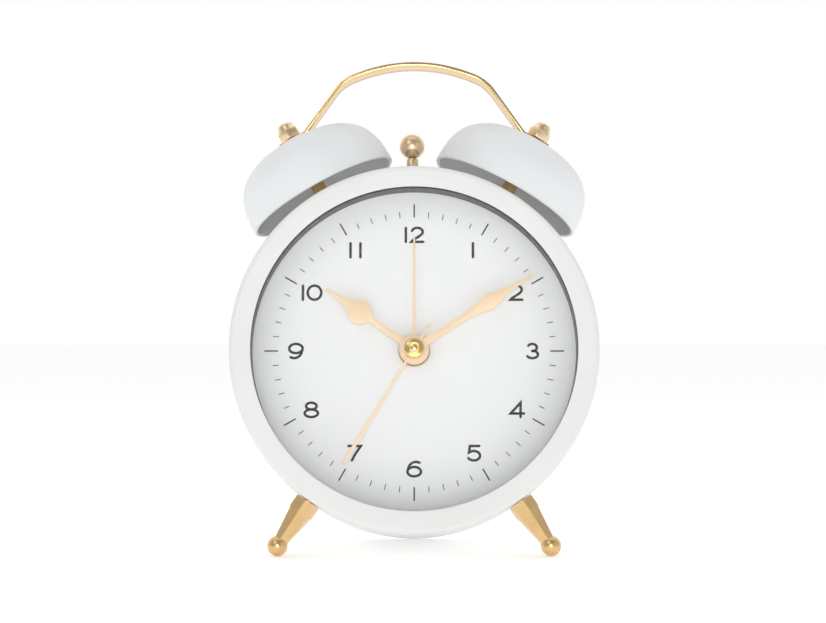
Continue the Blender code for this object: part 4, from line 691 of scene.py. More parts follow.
def publish(name: str, shape: BMesh, finish: Finish, body: str = "case",
            place: Matrix = CLOCK, stands_for: Sequence[str] = ()) -> Object:
    """Turn a shape into a finished piece of the clock.

    Args:
        name: The piece's name.
        shape: The shape in its own frame, which is used up.
        finish: Its material.
        body: The body that it moves with.
        place: The shape's frame, which the finish's relief follows too.
        stands_for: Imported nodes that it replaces.

    Returns:
        The piece.
    """
    bmesh.ops.transform(shape, matrix=place, verts=shape.verts)
    bmesh.ops.recalc_face_normals(shape, faces=shape.faces)
    mesh = bpy.data.meshes.new(name)
    shape.to_mesh(mesh)
    shape.free()
    mesh.shade_smooth()
    mesh.set_sharp_from_angle(angle=math.radians(SHARP_ANGLE))
    mesh.materials.append(replace(finish, name=f"{finish.name} ({name})", place=place).material())
    piece = bpy.data.objects.new(name, mesh)
    bpy.context.scene.collection.objects.link(piece)
    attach(piece, body)
    if stands_for:
        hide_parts(*stands_for)
    log.info("%s: %d faces, %s", name, len(mesh.polygons), finish.name)
    return piece


def rod(radius: float, low: float, high: float, middle: Point = (0.0, 0.0),
        steps: int = SMALL_STEPS) -> BMesh:
    """Make a round bar along Z."""
    return plate(arc(middle, (radius, radius), 0.0, 360.0 * (steps - 1) / steps, steps - 1), low,
                 high)


def block(half_x: float, half_y: float, low: float, high: float,
          middle: Point = (0.0, 0.0)) -> BMesh:
    """Make a rectangular block."""
    x, y = middle
    corners = ((-half_x, -half_y), (half_x, -half_y), (half_x, half_y), (-half_x, half_y))
    return plate([(x + dx, y + dy) for dx, dy in corners], low, high)


def hexagon(radius: float, twist: float = 0.0) -> list[Point]:
    """Give the corners of a hexagon, the first at the twist in degrees."""
    return [polar(radius, twist + 60.0 * i) for i in range(6)]


# ---------------------------------------------------------------- case and dial

DRUM_RADIUS = 51.0 * MM
BEZEL_RADIUS = 52.4 * MM
BEZEL_FACE = 8.9 * MM
BEZEL_ROUND = 1.4 * MM
REAR_EDGE = -43.0 * MM
LEG_ANGLE = 34.5
LEG_DEPTH = 4.5 * MM
BELL_ANGLE = 28.88
BELL_DEPTH = -17.0 * MM
POST_ANGLES = (30.0, 150.0, 270.0)
POST_CIRCLE = 43.5 * MM
SETTING_HOLE = 2.2 * MM
STUD_RADIUS = 1.5 * MM
STUD_HOLE = 1.8 * MM
BEZEL_STEPS = 16


@dataclass(frozen=True)
class Case:
    """The drum with its bezel, glass and a black ring that paints the shade inside the bezel."""

    opening: float = 46.25 * MM
    seat: float = 47.7 * MM
    bore: float = 48.0 * MM
    lip: float = 0.25 * MM
    skirt_rear: float = -3.0 * MM
    ledge: float = 8.4 * MM
    step: float = 1.0 * MM
    drum_bore: float = 49.8 * MM
    drum_ends: Point = (-40.9 * MM, 0.7 * MM)
    drum_cut: Point = (48.8 * MM, 52.0 * MM)
    slot_cut: Point = (47.8 * MM, 52.0 * MM)
    glass_ends: Point = (6.9 * MM, 8.1 * MM)
    ring_wall: float = 1.5 * MM
    ring_front: float = 6.6 * MM
    ring_edge: float = 0.1 * MM

    def section(self) -> list[Point]:
        """Give the bezel's section from the skirt's rear edge round to the bore."""
        lip, inside = self.lip, DRUM_RADIUS + GAP
        front = arc((BEZEL_RADIUS - BEZEL_ROUND, BEZEL_FACE - BEZEL_ROUND),
                    (BEZEL_ROUND, BEZEL_ROUND), 0, 90, BEZEL_STEPS)
        inner = arc((self.opening + lip, BEZEL_FACE - lip), (lip, lip), 90, 180, CORNER_STEPS)
        return [(BEZEL_RADIUS, self.skirt_rear), *front, *inner, (self.opening, self.ledge),
                (self.bore, self.ledge), (self.bore, self.step), (inside, self.step),
                (inside, self.skirt_rear)]

    def build(self) -> list[Object]:
        """Build the bezel, drum, glass and the black ring of painted shade."""
        bezel = lathe(self.section(), LARGE_STEPS)
        for side in (-1, 1):
            hole = rod(STUD_HOLE, self.bore - OVERRUN, BEZEL_RADIUS + OVERRUN)
            frame_of_leg = in_clock(radial(180.0 - side * LEG_ANGLE, LEG_DEPTH))
            bezel = combined(bezel, Join.CUT, moved(hole, frame_of_leg))
        low, high = self.drum_ends
        through = self.drum_cut
        drum = lathe([(DRUM_RADIUS, low), (DRUM_RADIUS, high), (self.drum_bore, high),
                      (self.drum_bore, low)], LARGE_STEPS)
        for side in (-1, 1):
            hole = rod(STUD_HOLE, *through)
            drum = combined(drum, Join.CUT,
                            moved(hole, in_clock(radial(side * BELL_ANGLE, BELL_DEPTH))))
        slot = plate(rounded_rectangle(3.2 * MM, 1.5 * MM, 0.9 * MM), *self.slot_cut)
        drum = combined(drum, Join.CUT, moved(slot, in_clock(radial(0.0, BELL_DEPTH))))
        rear, face = self.glass_ends
        glass = softened(lathe([(0.0, rear), (self.seat, rear), (self.seat, face), (0.0, face)],
                               LARGE_STEPS), 0.15 * MM)
        # The black ring below is painted shade: it darkens the bezel's unlit inner wall round the dial.
        inside = self.seat - self.ring_wall
        reveal = lathe([(inside, GAP), (self.seat, GAP), (self.seat, self.ring_front),
                        (inside + self.ring_edge, self.ring_front), (inside,
                                                                     6.5 * MM)], LARGE_STEPS)
        return [publish("bezel", bezel, POWDER_COAT, stands_for=["bezel_ring"]),
                publish("drum", drum, POWDER_COAT, stands_for=["case_drum"]),
                publish("glass", glass, GLASS, stands_for=["front_glass"]),
                publish("painted_shade_ring", reveal, PAINTED_SHADE_ABS,
                        stands_for=["reveal_ring"])]


def stroke(path: Sequence[Point], half: float, low: float, high: float) -> BMesh:
    """Draw a pen stroke of even width with round ends.

    Args:
        path: Middle of the stroke.
        half: Half its width.
        low: Height of its underside.
        high: Height of its face.

    Returns:
        The stroke as a thin solid.
    """
    bm = bmesh.new()
    right, left = ([bm.verts.new((x, y, low)) for x, y in beside(path, d)] for d in (half, -half))
    for a, b, c, d in zip(right, right[1:], left[1:], left):
        bm.faces.new((a, b, c, d))
    for end, start, first, last in ((path[0], path[1], left[0], right[0]),
                                    (path[-1], path[-2], right[-1], left[-1])):
        heading = math.degrees(math.atan2(end[1] - start[1], end[0] - start[0]))
        cap = arc(end, (half, half), heading - 90.0, heading + 90.0, 8)[1:-1]
        bm.faces.new([first, *(bm.verts.new((x, y, low)) for x, y in cap), last])
    bmesh.ops.remove_doubles(bm, verts=bm.verts, dist=1e-8)
    return raise_faces(bm, low, high)


@dataclass(frozen=True)
class Numerals:
    """Upright monoline figures, drawn as strokes in millimetres about the middle of each figure."""

    half_stroke: float = 0.37
    top: float = 2.05

    def strokes(self, figure: str) -> list[list[Point]]:
        """Give the middle lines of one figure's strokes."""
        top = self.top
        if figure == "1":
            return [[(0.0, -top), (0.0, top)]]
        if figure == "2":
            bowl = arc((0.05, 0.87), (1.55, 1.2), 165.0, -42.0, 20)
            return [bowl + smooth_run([bowl[-1], (0.1, -0.75), (-1.1, -1.5), (-1.65, -top)], 5)[1:]
                    + [(1.75, -top)]]
        if figure == "3":
            upper = arc((-0.05, 1.0), (1.3, 1.05), 150.0, -90.0, 20)
            lower = arc((-0.05, -1.0), (1.6, 1.08), 90.0, -152.0, 20)
            return [upper, lower]
        if figure == "4":
            return [[(1.0, -top), (1.0, top), (-1.85, -1.05), (1.95, -1.05)]]
        if figure == "5":
            bowl = arc((0.0, -0.72), (1.78, 1.34), 128.0, -150.0, 24)
            return [[(1.55, top), (-1.1, top), (-1.35, 0.2)] + bowl[1:]]
        if figure == "6":
            bowl = arc((0.0, -0.72), (1.92, 1.33), 180.0, 540.0, 32)
            stem = smooth_run([(1.5, 1.8), (0.65, 2.05), (-0.5, 1.8), (-1.4, 0.95), (-1.92, -0.72)],
                              6)
            return [stem, bowl]
        if figure == "7":
            return [[(-1.75, top), (1.75, top), (0.1, -0.35), (-0.75, -top)]]
        if figure == "8":
            return [arc((0.0, 1.07), (1.5, 0.98), 0.0, 360.0, 28),
                    arc((0.0, -0.98), (1.9, 1.08), 0.0, 360.0, 32)]
        if figure == "9":
            return [[(-x, -y) for x, y in line] for line in self.strokes("6")]
        return [arc((0.0, 0.0), (1.95, top), 0.0, 360.0, 40)]

    def spread(self, hour: int) -> list[tuple[str, float]]:
        """Give each figure of an hour with its distance from the middle of the number."""
        pairs = {10: (("1", -2.65), ("0", 0.67)), 11: (("1", -1.42), ("1", 1.42)),
                 12: (("1", -2.4), ("2", 0.85))}
        return list(pairs.get(hour, ((str(hour), 0.0),)))


@dataclass(frozen=True)
class Dial:
    """The printed card: its plate, the marks and the numbers."""

    radius: float = 47.7 * MM
    ink: float = 0.02 * MM
    number_circle: float = 33.8 * MM
    hole: float = 3.9 * MM
    thickness: float = 0.8 * MM
    nut_radius: float = 4.5 * MM
    nut_face: float = 1.3 * MM

    def marks(self, hours: bool) -> BMesh:
        """Print the hour marks or the minute marks.

        Args:
            hours: Whether to print the hour marks.

        Returns:
            The marks as thin bars.
        """
        bm = bmesh.new()
        outer = (42.8 if hours else 40.6) * MM
        inner = 38.9 * MM
        width = (0.4 if hours else 0.26) * MM
        for minute in range(60):
            if (minute % 5 == 0) is not hours:
                continue
            size = Matrix.Diagonal((width, outer - inner, 2 * self.ink, 1.0))
            turn = rotation(-6.0 * minute, "Z")
            shift = Matrix.Translation((0.0, (outer + inner) / 2, 0.0))
            bmesh.ops.create_cube(bm, size=1.0, matrix=turn @ shift @ size)
        return bm

    def numbers(self) -> BMesh:
        """Print the twelve numbers upright on their circle."""
        figures = Numerals()
        sheet = bmesh.new()
        for hour in range(1, 13):
            x, y = polar(self.number_circle, 90.0 - 30.0 * hour)
            for figure, aside in figures.spread(hour):
                for line in figures.strokes(figure):
                    path = [(x + (aside + px) * MM, y + py * MM) for px, py in line]
                    sheet = together(sheet,
                                     stroke(path, figures.half_stroke * MM, -self.ink, self.ink))
        return sheet

    def build(self) -> list[Object]:
        """Build the card and its printing."""
        hole, rear = self.hole, -self.thickness
        card = lathe([(hole, rear), (self.radius, rear), (self.radius, 0.0), (hole, 0.0)],
                     LARGE_STEPS)
        nut = lathe([(hole, GAP), (self.nut_radius, GAP), (self.nut_radius, 1.1 * MM),
                     (4.3 * MM, self.nut_face), (hole, self.nut_face)], 64)
        faint = replace(DIAL_INK, name="Screen-printed ink, grey", colour="#5A5A59",
                        shade="#636362")
        return [publish("dial_card", card, DIAL_CARD, stands_for=["dial_plate"]),
                publish("dial_hour_marks", self.marks(True), DIAL_INK),
                publish("dial_minute_marks", self.marks(False), faint),
                publish("dial_numbers", self.numbers(), DIAL_INK),
                publish("dial_ring_nut", nut, WHEEL_BRASS, stands_for=["dial_nut"])]


# ---------------------------------------------------------------- hands

@dataclass(frozen=True)
class Hand:
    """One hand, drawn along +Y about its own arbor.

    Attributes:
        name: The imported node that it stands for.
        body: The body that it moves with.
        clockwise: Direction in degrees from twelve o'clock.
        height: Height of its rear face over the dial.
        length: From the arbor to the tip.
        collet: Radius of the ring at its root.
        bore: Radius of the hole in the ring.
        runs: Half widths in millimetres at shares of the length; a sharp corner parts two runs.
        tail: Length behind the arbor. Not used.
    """

    name: str
    body: str
    clockwise: float
    height: float
    length: float
    collet: float
    bore: float
    runs: tuple[tuple[Point, ...], ...]
    tail: float = 0.0

    def outline(self) -> list[Point]:
        """Give the outline of the blade, rounded at the tip."""
        right: list[Point] = []
        for run in self.runs:
            right += smooth_run([(half * MM, share * self.length) for share, half in run], 8)
        tip = right[-1][0]
        right = right[:-1] + arc((0.0, self.length - tip), (tip, tip), 0.0, 180.0, 12)[:-1]
        return right + [(-x, y) for x, y in right[::-1] if x > 0.0 and y < self.length - tip * 1.01]

    def build(self) -> list[Object]:
        """Build the hand."""
        thickness = 0.5 * MM
        blade = softened(plate(self.outline(), 0.0, thickness), 0.05 * MM)
        ring = softened(lathe([(self.bore, 0.0), (self.collet, 0.0), (self.collet, thickness),
                               (self.bore, thickness)], 96), 0.06 * MM)
        hand = combined(blade, Join.CUT, rod(self.bore + 0.2 * MM, -OVERRUN, OVERRUN, steps=96))
        hand = combined(ring, Join.FUSE, hand)
        place = CLOCK @ rotation(-self.clockwise, "Z") @ raised(self.height)
        return [publish(f"{self.name}_blade", hand, HAND_PAINT, self.body, place,
                        [self.name])]


HANDS = (
    Hand("alarm_hand", "alarm", 0.0, 1.9 * MM, 33.0 * MM, 4.2 * MM, 3.05 * MM,
         (((0.10, 0.44), (0.985, 0.28)),)),
    Hand("hour_hand", "hour", 304.8, 2.8 * MM, 30.6 * MM, 4.3 * MM, 2.33 * MM,
         (((0.10, 1.00), (0.485, 0.82), (0.500, 0.97), (0.522, 1.90), (0.552, 2.75), (0.590, 3.40),
           (0.628, 3.55),
           (0.662, 3.10), (0.710, 2.15), (0.770, 1.35), (0.835, 0.85), (0.900, 0.60), (0.985,
                                                                                       0.44)),)),
    Hand("minute_hand", "minute", 57.6, 3.7 * MM, 40.0 * MM, 3.9 * MM, 1.61 * MM,
         (((0.06, 1.02), (0.375, 0.96), (0.450, 1.10), (0.525, 1.35), (0.590, 1.95), (0.635, 2.45)),
          ((0.635, 2.45), (0.700, 1.80), (0.765, 1.15), (0.825, 0.74), (0.885, 0.56),
           (0.985, 0.48)))),
)


@dataclass(frozen=True)
class SecondHand:
    """The thin second hand and the turned cap over the hands."""

    clockwise: float = 211.5
    height: float = 4.6 * MM
    cap_height: float = 5.2 * MM
    length: float = 38.5 * MM
    tail: float = -8.5 * MM
    bore: float = 0.85 * MM

    def build(self) -> list[Object]:
        """Build the hand and its cap."""
        turn = CLOCK @ rotation(-self.clockwise, "Z")
        tip = 0.46 * MM
        side = [(0.42 * MM, self.tail), (0.32 * MM, 0.0), (0.40 * MM, 12.0 * MM),
                (0.55 * MM, 29.6 * MM)]
        end = arc((0.0, self.length - tip), (tip, tip), 0.0, 180.0, 10)[:-1]
        outline = [*side, *end, (-tip, self.length - tip), *((-x, y) for x, y in side[::-1])]
        needle = softened(plate(outline, 0.0, 0.4 * MM), 0.05 * MM)
        hub = softened(rod(2.2 * MM, 0.0, 0.5 * MM, steps=64), 0.06 * MM)
        hand = combined(hub, Join.FUSE, needle)
        hand = combined(hand, Join.CUT, rod(self.bore, -OVERRUN, OVERRUN))
        radius, crown = 2.95 * MM, 1.4 * MM
        shoulder = arc((radius - 0.7 * MM, 0.1 * MM), (0.7 * MM, 0.7 * MM), 0.0, 80.0, 10)
        button = arc((0.0, 0.75 * MM), (1.35 * MM, crown - 0.75 * MM), 8.0, 84.0, 12)
        cap = lathe([(0.0, 0.0), (radius - 0.1 * MM, 0.0), *shoulder, (1.75 * MM, 0.92 * MM),
                     (1.50 * MM, 0.72 * MM), *button, (0.2 * MM, crown), (0.16 * MM,
                                                                          crown - 0.05 * MM),
                     (0.0, crown - 0.06 * MM)], 96)
        cap = combined(cap, Join.CUT, rod(self.bore, -OVERRUN, 1.0 * MM))
        return [publish("second_hand_needle", hand, HAND_PAINT, "second",
                        turn @ raised(self.height), ["second_hand"]),
                publish("hub_button", cap, POLISHED_BRASS, "second",
                        turn @ raised(self.cap_height), ["hub_cap"])]


# ---------------------------------------------------------------- legs, bells, handle, striker

@dataclass(frozen=True)
class Leg:
    """A hexagonal front leg with a ball foot.

    Attributes:
        name: Left or right.
        side: Minus one on the left, one on the right.
    """

    name: str
    side: int
    twist: float = 22.0
    foot_radius: float = 2.85 * MM
    foot_middle: float = 67.6 * MM
    seat_rear: float = -4.0 * MM
    stud_ends: Point = (48.5 * MM, 53.4 * MM)

    def build(self) -> list[Object]:
        """Build the leg, its root shaped to the bezel."""
        place = radial(180.0 - self.side * LEG_ANGLE, LEG_DEPTH)
        twist = self.side * self.twist
        collar, taper = 56.2 * MM, 65.6 * MM
        bm = bmesh.new()
        levels = ((49.4 * MM, 3.8 * MM), (collar, 3.8 * MM), (collar + 0.5 * MM, 3.5 * MM),
                  (taper, 2.1 * MM))
        rings = [[bm.verts.new((x, y, height)) for x, y in hexagon(radius, twist)]
                 for height, radius in levels]
        for lower, upper in zip(rings, rings[1:]):
            for i in range(6):
                bm.faces.new((lower[i], lower[(i + 1) % 6], upper[(i + 1) % 6], upper[i]))
        bm.faces.new(rings[0][::-1])
        bm.faces.new(rings[-1])
        shank = softened(bm, 0.14 * MM, 2, 20.0)
        grown = Case().section()[:BEZEL_STEPS + 2]
        seat = lathe([(0.0, self.seat_rear), (grown[0][0] + GAP, self.seat_rear)]
                     + [(radius + GAP, height + GAP) for radius, height in grown[1:]]
                     + [(0.0, BEZEL_FACE + GAP)], LARGE_STEPS)
        shank = combined(shank, Join.CUT, moved(seat, place.inverted() @ CLOCK))
        foot = moved(ball(self.foot_radius), raised(self.foot_middle))
        stud = rod(STUD_RADIUS, *self.stud_ends)
        leg = combined(shank, Join.FUSE, foot, stud)
        return [publish(f"foot_{self.name}", leg, BRUSHED_BRASS, place=place,
                        stands_for=[f"leg_{self.name}"])]


@dataclass(frozen=True)
class Bell:
    """A bell with its post, washer and finial nut.

    Attributes:
        name: Left or right.
        side: Minus one on the left, one on the right.
    """

    name: str
    side: int
    rim: float = 55.25 * MM
    radius: float = 23.1 * MM
    height: float = 18.55 * MM
    wall: float = 1.0 * MM
    roundness: float = 2.88
    post_root: float = 46.0 * MM
    washer: float = 4.5 * MM

    def dome(self, radius: float, height: float, steps: int = 40) -> list[Point]:
        """Give the dome's curve from the rim towards the crown."""
        turns = [math.pi / 2 * i / steps for i in range(steps)]
        power = 2.0 / self.roundness
        return [(radius * math.cos(t) ** power, height * math.sin(t) ** power) for t in turns]

    def finial(self, foot: float) -> BMesh:
        """Turn the nut on top of the bell.

        Args:
            foot: Where it seats on the handle.

        Returns:
            The nut.
        """
        shoulder, crown = foot + 2.7 * MM, foot + 5.2 * MM
        top, fall = 2.35 * MM, 1.1 * MM
        cap = arc((top - fall, crown - fall), (fall, fall), 0.0, 70.0, 10)
        body = softened(plate(hexagon(3.35 * MM, 20.0), foot, shoulder), 0.16 * MM)
        turned = lathe([(0.0, foot + OVERRUN), (top * 0.8, foot + OVERRUN), (top * 1.25, shoulder),
                        *cap,
                        (0.0, crown)], 64)
        nut = combined(body, Join.FUSE, turned)
        return combined(nut, Join.CUT, rod(STUD_HOLE, foot - OVERRUN, foot + 3.4 * MM))

    def build(self) -> list[Object]:
        """Build the bell and what holds it."""
        place = radial(self.side * BELL_ANGLE, BELL_DEPTH)
        hole = STUD_HOLE
        apex = self.rim + self.height
        outside = self.dome(self.radius, self.height)
        inside = self.dome(self.radius - self.wall, self.height - self.wall)
        lip = [(self.radius - 0.25 * MM, 0.0), (self.radius - self.wall + 0.25 * MM, 0.0)]
        outside[0] = (self.radius, 0.25 * MM)
        inside[0] = (self.radius - self.wall, 0.25 * MM)
        shell = lathe([*outside, (hole, self.height), (hole, self.height - self.wall),
                       *inside[::-1], *lip[::-1]],
                      BELL_STEPS)
        shell = moved(shell, raised(self.rim))
        washer_top = apex - self.wall - GAP
        seat = apex + 2 * GAP + 1.0 * MM
        post = softened(plate(hexagon(2.4 * MM, 90.0), DRUM_RADIUS + GAP, washer_top - 1.1 * MM),
                        0.12 * MM)
        stud = rod(STUD_RADIUS, self.post_root, seat + 3.1 * MM)
        post = combined(post, Join.FUSE, stud)
        washer = softened(lathe([(hole, washer_top - 0.8 * MM),
                                 (self.washer, washer_top - 0.8 * MM),
                                 (self.washer, washer_top), (hole, washer_top)]), 0.1 * MM)
        side = self.name
        return [publish(f"bell_shell_{side}", shell, BELL_ENAMEL, place=place,
                        stands_for=[f"bell_{side}"]),
                publish(f"bell_stem_{side}", post, BRUSHED_BRASS, place=place,
                        stands_for=[f"bell_post_{side}"]),
                publish(f"crown_washer_{side}", washer, FIBRE, place=place,
                        stands_for=[f"bell_washer_{side}"]),
                publish(f"finial_{side}", self.finial(seat), TURNED_BRASS,
                        place=place,
                        stands_for=[f"finial_nut_{side}"])]


@dataclass(frozen=True)
class CarryHandle:
    """The strap bent over both bells and held under the finial nuts."""

    seat: float = 74.1 * MM
    thickness: float = 1.0 * MM
    width: float = 7.0 * MM
    crown: float = 88.9 * MM
    crown_radius: float = 45.0 * MM
    crown_slope: float = 21.0
    shoulder_radius: float = 14.0 * MM
    shoulder_slope: float = 55.2
    bend_radius: float = 2.0 * MM
    tab_inner: float = 3.9 * MM
    tab_outer: float = 4.2 * MM

    def side(self) -> list[tuple[float, float, float]]:
        """Give the corners of the right half of the outer face, from the tab to the crown."""
        turn = math.radians(BELL_ANGLE)
        out = Vector((math.sin(turn), math.cos(turn)))
        down = Vector((math.cos(turn), -math.sin(turn)))
        seat = out * (self.seat + self.thickness)
        bend = seat - down * self.tab_inner
        slope, leg_slope = math.radians(self.crown_slope), math.radians(self.shoulder_slope)
        middle = self.crown - self.crown_radius
        top = Vector((0.0, middle + self.crown_radius / math.cos(slope)))
        leg = Vector((-math.cos(leg_slope), math.sin(leg_slope)))
        fall = Vector((math.cos(slope), -math.sin(slope)))
        across = bend - top
        along = (across.x * leg.y - across.y * leg.x) / (fall.x * leg.y - fall.y * leg.x)
        shoulder = top + fall * along
        return [(*(seat + down * self.tab_outer), 0.0), (*bend, self.bend_radius),
                (*shoulder, self.shoulder_radius), (*top, self.crown_radius)]

    def build(self) -> list[Object]:
        """Build the strap with a hole in each tab."""
        right = self.side()
        left = [(-x, y, radius) for x, y, radius in right[:-1]]
        outer = filleted(left + [right[-1]] + right[-2::-1], 1.5)
        inner = beside(outer, self.thickness)
        half = self.width / 2
        strap = softened(plate(outer + inner[::-1], BELL_DEPTH - half, BELL_DEPTH + half),
                         0.14 * MM, 2, 60.0)
        for side in (-1, 1):
            hole = rod(STUD_HOLE, self.seat - OVERRUN, self.seat + 2 * OVERRUN)
            strap = combined(strap, Join.CUT,
                             moved(hole, in_clock(radial(side * BELL_ANGLE, BELL_DEPTH))))
        lengthwise = rotation(90.0, "Y")
        strap = moved(strap, lengthwise.inverted())
        return [publish("handle_strap", strap, ROLLED_BRASS,
                        place=CLOCK @ lengthwise,
                        stands_for=["carry_handle"])]


@dataclass(frozen=True)
class Striker:
    """The hammer between the bells."""

    pivot: float = 35.0 * MM
    reach: float = 28.8 * MM
    rest: float = 1.2
    ball: float = 3.7 * MM
    hub: float = 3.0 * MM
    stem: float = 0.9 * MM
    neck: float = 1.75 * MM
    shaft_hole: float = 1.3 * MM

    def build(self) -> list[Object]:
        """Build the arm and the ball."""
        hinge = CLOCK @ Matrix.Translation((0.0, self.pivot, BELL_DEPTH)) @ rotation(self.rest, "Z")
        place = hinge @ rotation(-90.0, "X")
        to_hinge = rotation(90.0, "X")
        stem_end = self.reach - self.ball / 2
        neck_top = self.reach - self.ball + GAP / 2
        hub = moved(softened(rod(self.hub, -1.4 * MM, 1.4 * MM), 0.2 * MM), to_hinge)
        stem = rod(self.stem, 1.5 * MM, stem_end, steps=32)
        neck = softened(rod(self.neck, neck_top - 5.2 * MM, neck_top - GAP), 0.25 * MM)
        arm = combined(hub, Join.FUSE, stem, neck)
        arm = combined(arm, Join.CUT, moved(rod(self.shaft_hole, -3.0 * MM, 3.0 * MM), to_hinge))
        knob = moved(ball(self.ball, 72), raised(self.reach))
        knob = combined(knob, Join.CUT, rod(1.2 * MM, self.reach - 2 * self.ball, stem_end + GAP))
        facing = hinge @ Matrix.Translation((0.0, self.reach, 0.0))
        knob = moved(knob, facing.inverted() @ place)
        return [publish("hammer_stem", arm, TURNED_BRASS, "hammer", place,
                        ["hammer_arm"]),
                publish("hammer_knob", knob, TURNED_BRASS, "hammer", facing,
                        ["hammer_ball"])]


# ---------------------------------------------------------------- back

PANEL_REAR = -41.8 * MM
PANEL_FRONT = -40.0 * MM
KNOB_BODIES = {"time_set": "time_setting", "alarm_set": "alarm_setting"}
SWITCH_Y = 17.0 * MM


def knob_place(name: str) -> Point:
    """Give a knob's axis on the back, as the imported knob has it."""
    low, high = extent(f"{name}_knob")
    return (low.x + high.x) / 2, (low.y + high.y) / 2


@dataclass(frozen=True)
class BackCover:
    """The moulded cover with its openings, raised arrows and three screws."""

    panel: float = 46.2 * MM
    spigot: float = 49.5 * MM
    arrow_circle: float = 9.4 * MM
    head: float = 2.6 * MM
    head_height: float = 1.4 * MM
    head_round: float = 0.8 * MM
    shank: float = 1.2 * MM

    def arrow(self, middle: Point) -> BMesh:
        """Raise a turning arrow beside a knob.

        Args:
            middle: The knob's axis.

        Returns:
            The arrow as a thin solid that runs into the panel.
        """
        low, high = PANEL_REAR - 0.3 * MM, PANEL_REAR + 0.2 * MM
        path = arc(middle, (self.arrow_circle, self.arrow_circle), 60.0, 118.0, 20)
        shaft = band(path, 0.35 * MM, low, high)
        tip = polar(self.arrow_circle, 128.0, middle)
        head = plate([tip, polar(8.2 * MM, 116.0, middle), polar(10.6 * MM, 116.0, middle)], low,
                     high)
        return together(shaft, head)

    def screw(self) -> BMesh:
        """Turn a slotted pan-head screw, its head towards the rear."""
        top = -GAP - self.head_height
        rounding = self.head_round
        head = arc((self.head - rounding, top + rounding), (rounding, rounding), -90.0, 0.0, 8)
        body = lathe([(0.0, top), *head, (self.head, -GAP), (self.shank, -GAP),
                      (self.shank, 6.0 * MM), (0.0, 6.8 * MM)])
        return combined(body, Join.CUT, block(3.6 * MM, 0.35 * MM, top - OVERRUN, top + 0.7 * MM))

    def build(self) -> list[Object]:
        """Build the cover and its screws."""
        rim, flange = REAR_EDGE, -41.2 * MM
        edge = 0.4 * MM
        outer = arc((DRUM_RADIUS - edge, rim + edge), (edge, edge), -90.0, 0.0, 6)
        cover = lathe([(0.0, PANEL_REAR), (self.panel, PANEL_REAR), (self.panel + 0.8 * MM, rim),
                       *outer,
                       (DRUM_RADIUS, flange), (self.spigot, flange), (self.spigot,
                                                                      flange + 3.7 * MM),
                       (self.spigot - 1.5 * MM, flange + 3.7 * MM), (self.spigot - 1.5 * MM,
                                                                     PANEL_FRONT),
                       (0.0, PANEL_FRONT)], LARGE_STEPS)
        through = (PANEL_REAR - OVERRUN, PANEL_FRONT + OVERRUN)
        door_low, door_high = extent("battery_door")
        middle = ((door_low.x + door_high.x) / 2, (door_low.y + door_high.y) / 2)
        doorway = block((door_high.x - door_low.x) / 2 + GAP, (door_high.y - door_low.y) / 2 + GAP,
                        *through, middle)
        slot = block(3.8 * MM, 1.3 * MM, *through, (0.0, SWITCH_Y))
        holes = [rod(SETTING_HOLE, *through, knob_place(name)) for name in KNOB_BODIES]
        cover = combined(cover, Join.CUT, doorway, slot, *holes)
        seat = PANEL_REAR + 0.7 * MM
        for angle in POST_ANGLES:
            place = polar(POST_CIRCLE, angle)
            cover = combined(cover, Join.CUT, rod(1.5 * MM, *through, place),
                             rod(2.9 * MM, rim - OVERRUN, seat, place))
        arrows = together(*(self.arrow(knob_place(name)) for name in KNOB_BODIES))
        built = [publish("rear_cover", together(cover, arrows), WHITE_ABS,
                         stands_for=["back_cover"])]
        for number, angle in enumerate(POST_ANGLES, 1):
            x, y = polar(POST_CIRCLE, angle)
            built.append(publish(f"cover_screw_{number}", self.screw(), PLATED_STEEL,
                                 place=shifted(x, y,
                                               seat), stands_for=[f"back_cover_screw_{number}"]))
        return built


@dataclass(frozen=True)
class Controls:
    """The set knobs and the slide switch on the back."""

    ribs: int = 32
    knob_height: float = 6.0 * MM
    grooves: tuple[float, ...] = (-1.4 * MM, -0.7 * MM, 0.0, 0.7 * MM, 1.4 * MM)

    def knob(self) -> BMesh:
        """Mould a ribbed knob whose rear end is rounded."""
        low = PANEL_REAR - GAP - self.knob_height
        high = low + self.knob_height
        outline: list[Point] = []
        for i in range(self.ribs * 6):
            wave = 0.5 + 0.5 * math.cos(math.tau * i / 6)
            outline.append(polar((6.65 + 0.35 * wave) * MM, 360.0 * i / (self.ribs * 6)))
        grip = plate(outline, low + 0.8 * MM, high)
        edge = arc((5.45 * MM, low + 0.7 * MM), (0.7 * MM, 0.7 * MM), -90.0, 0.0, 8)
        crown = lathe([(0.0, low + 0.35 * MM), (3.9 * MM, low + 0.35 * MM), (4.3 * MM, low), *edge,
                       (6.15 * MM, low + 1.8 * MM), (0.0, low + 1.8 * MM)], 96)
        knob = combined(grip, Join.FUSE, crown)
        return combined(knob, Join.CUT, rod(SETTING_HOLE, low + 3.0 * MM, high + OVERRUN))

    def build(self) -> list[Object]:
        """Build both knobs and the switch's cap."""
        built = []
        for name, body in KNOB_BODIES.items():
            x, y = knob_place(name)
            built.append(publish(f"{name}_grip", self.knob(), WHITE_ABS, body,
                                 shifted(x, y), [f"{name}_knob"]))
        high = PANEL_REAR - GAP
        low = high - 1.8 * MM
        cap = softened(plate(rounded_rectangle(3.0 * MM, 2.0 * MM, 0.6 * MM), low, high), 0.15 * MM)
        grooves = [block(0.2 * MM, 3.0 * MM, low - OVERRUN, low + 0.3 * MM, (x, 0.0))
                   for x in self.grooves]
        cap = combined(cap, Join.CUT, *grooves)
        cap = combined(cap, Join.FUSE, block(1.5 * MM, 1.0 * MM, high - 0.5 * MM,
                                             PANEL_FRONT + 2.0 * MM))
        built.append(publish("switch_slider", cap, SWITCH_ABS, "switch",
                             shifted(-2.0 * MM, SWITCH_Y), ["alarm_switch"]))
        return built


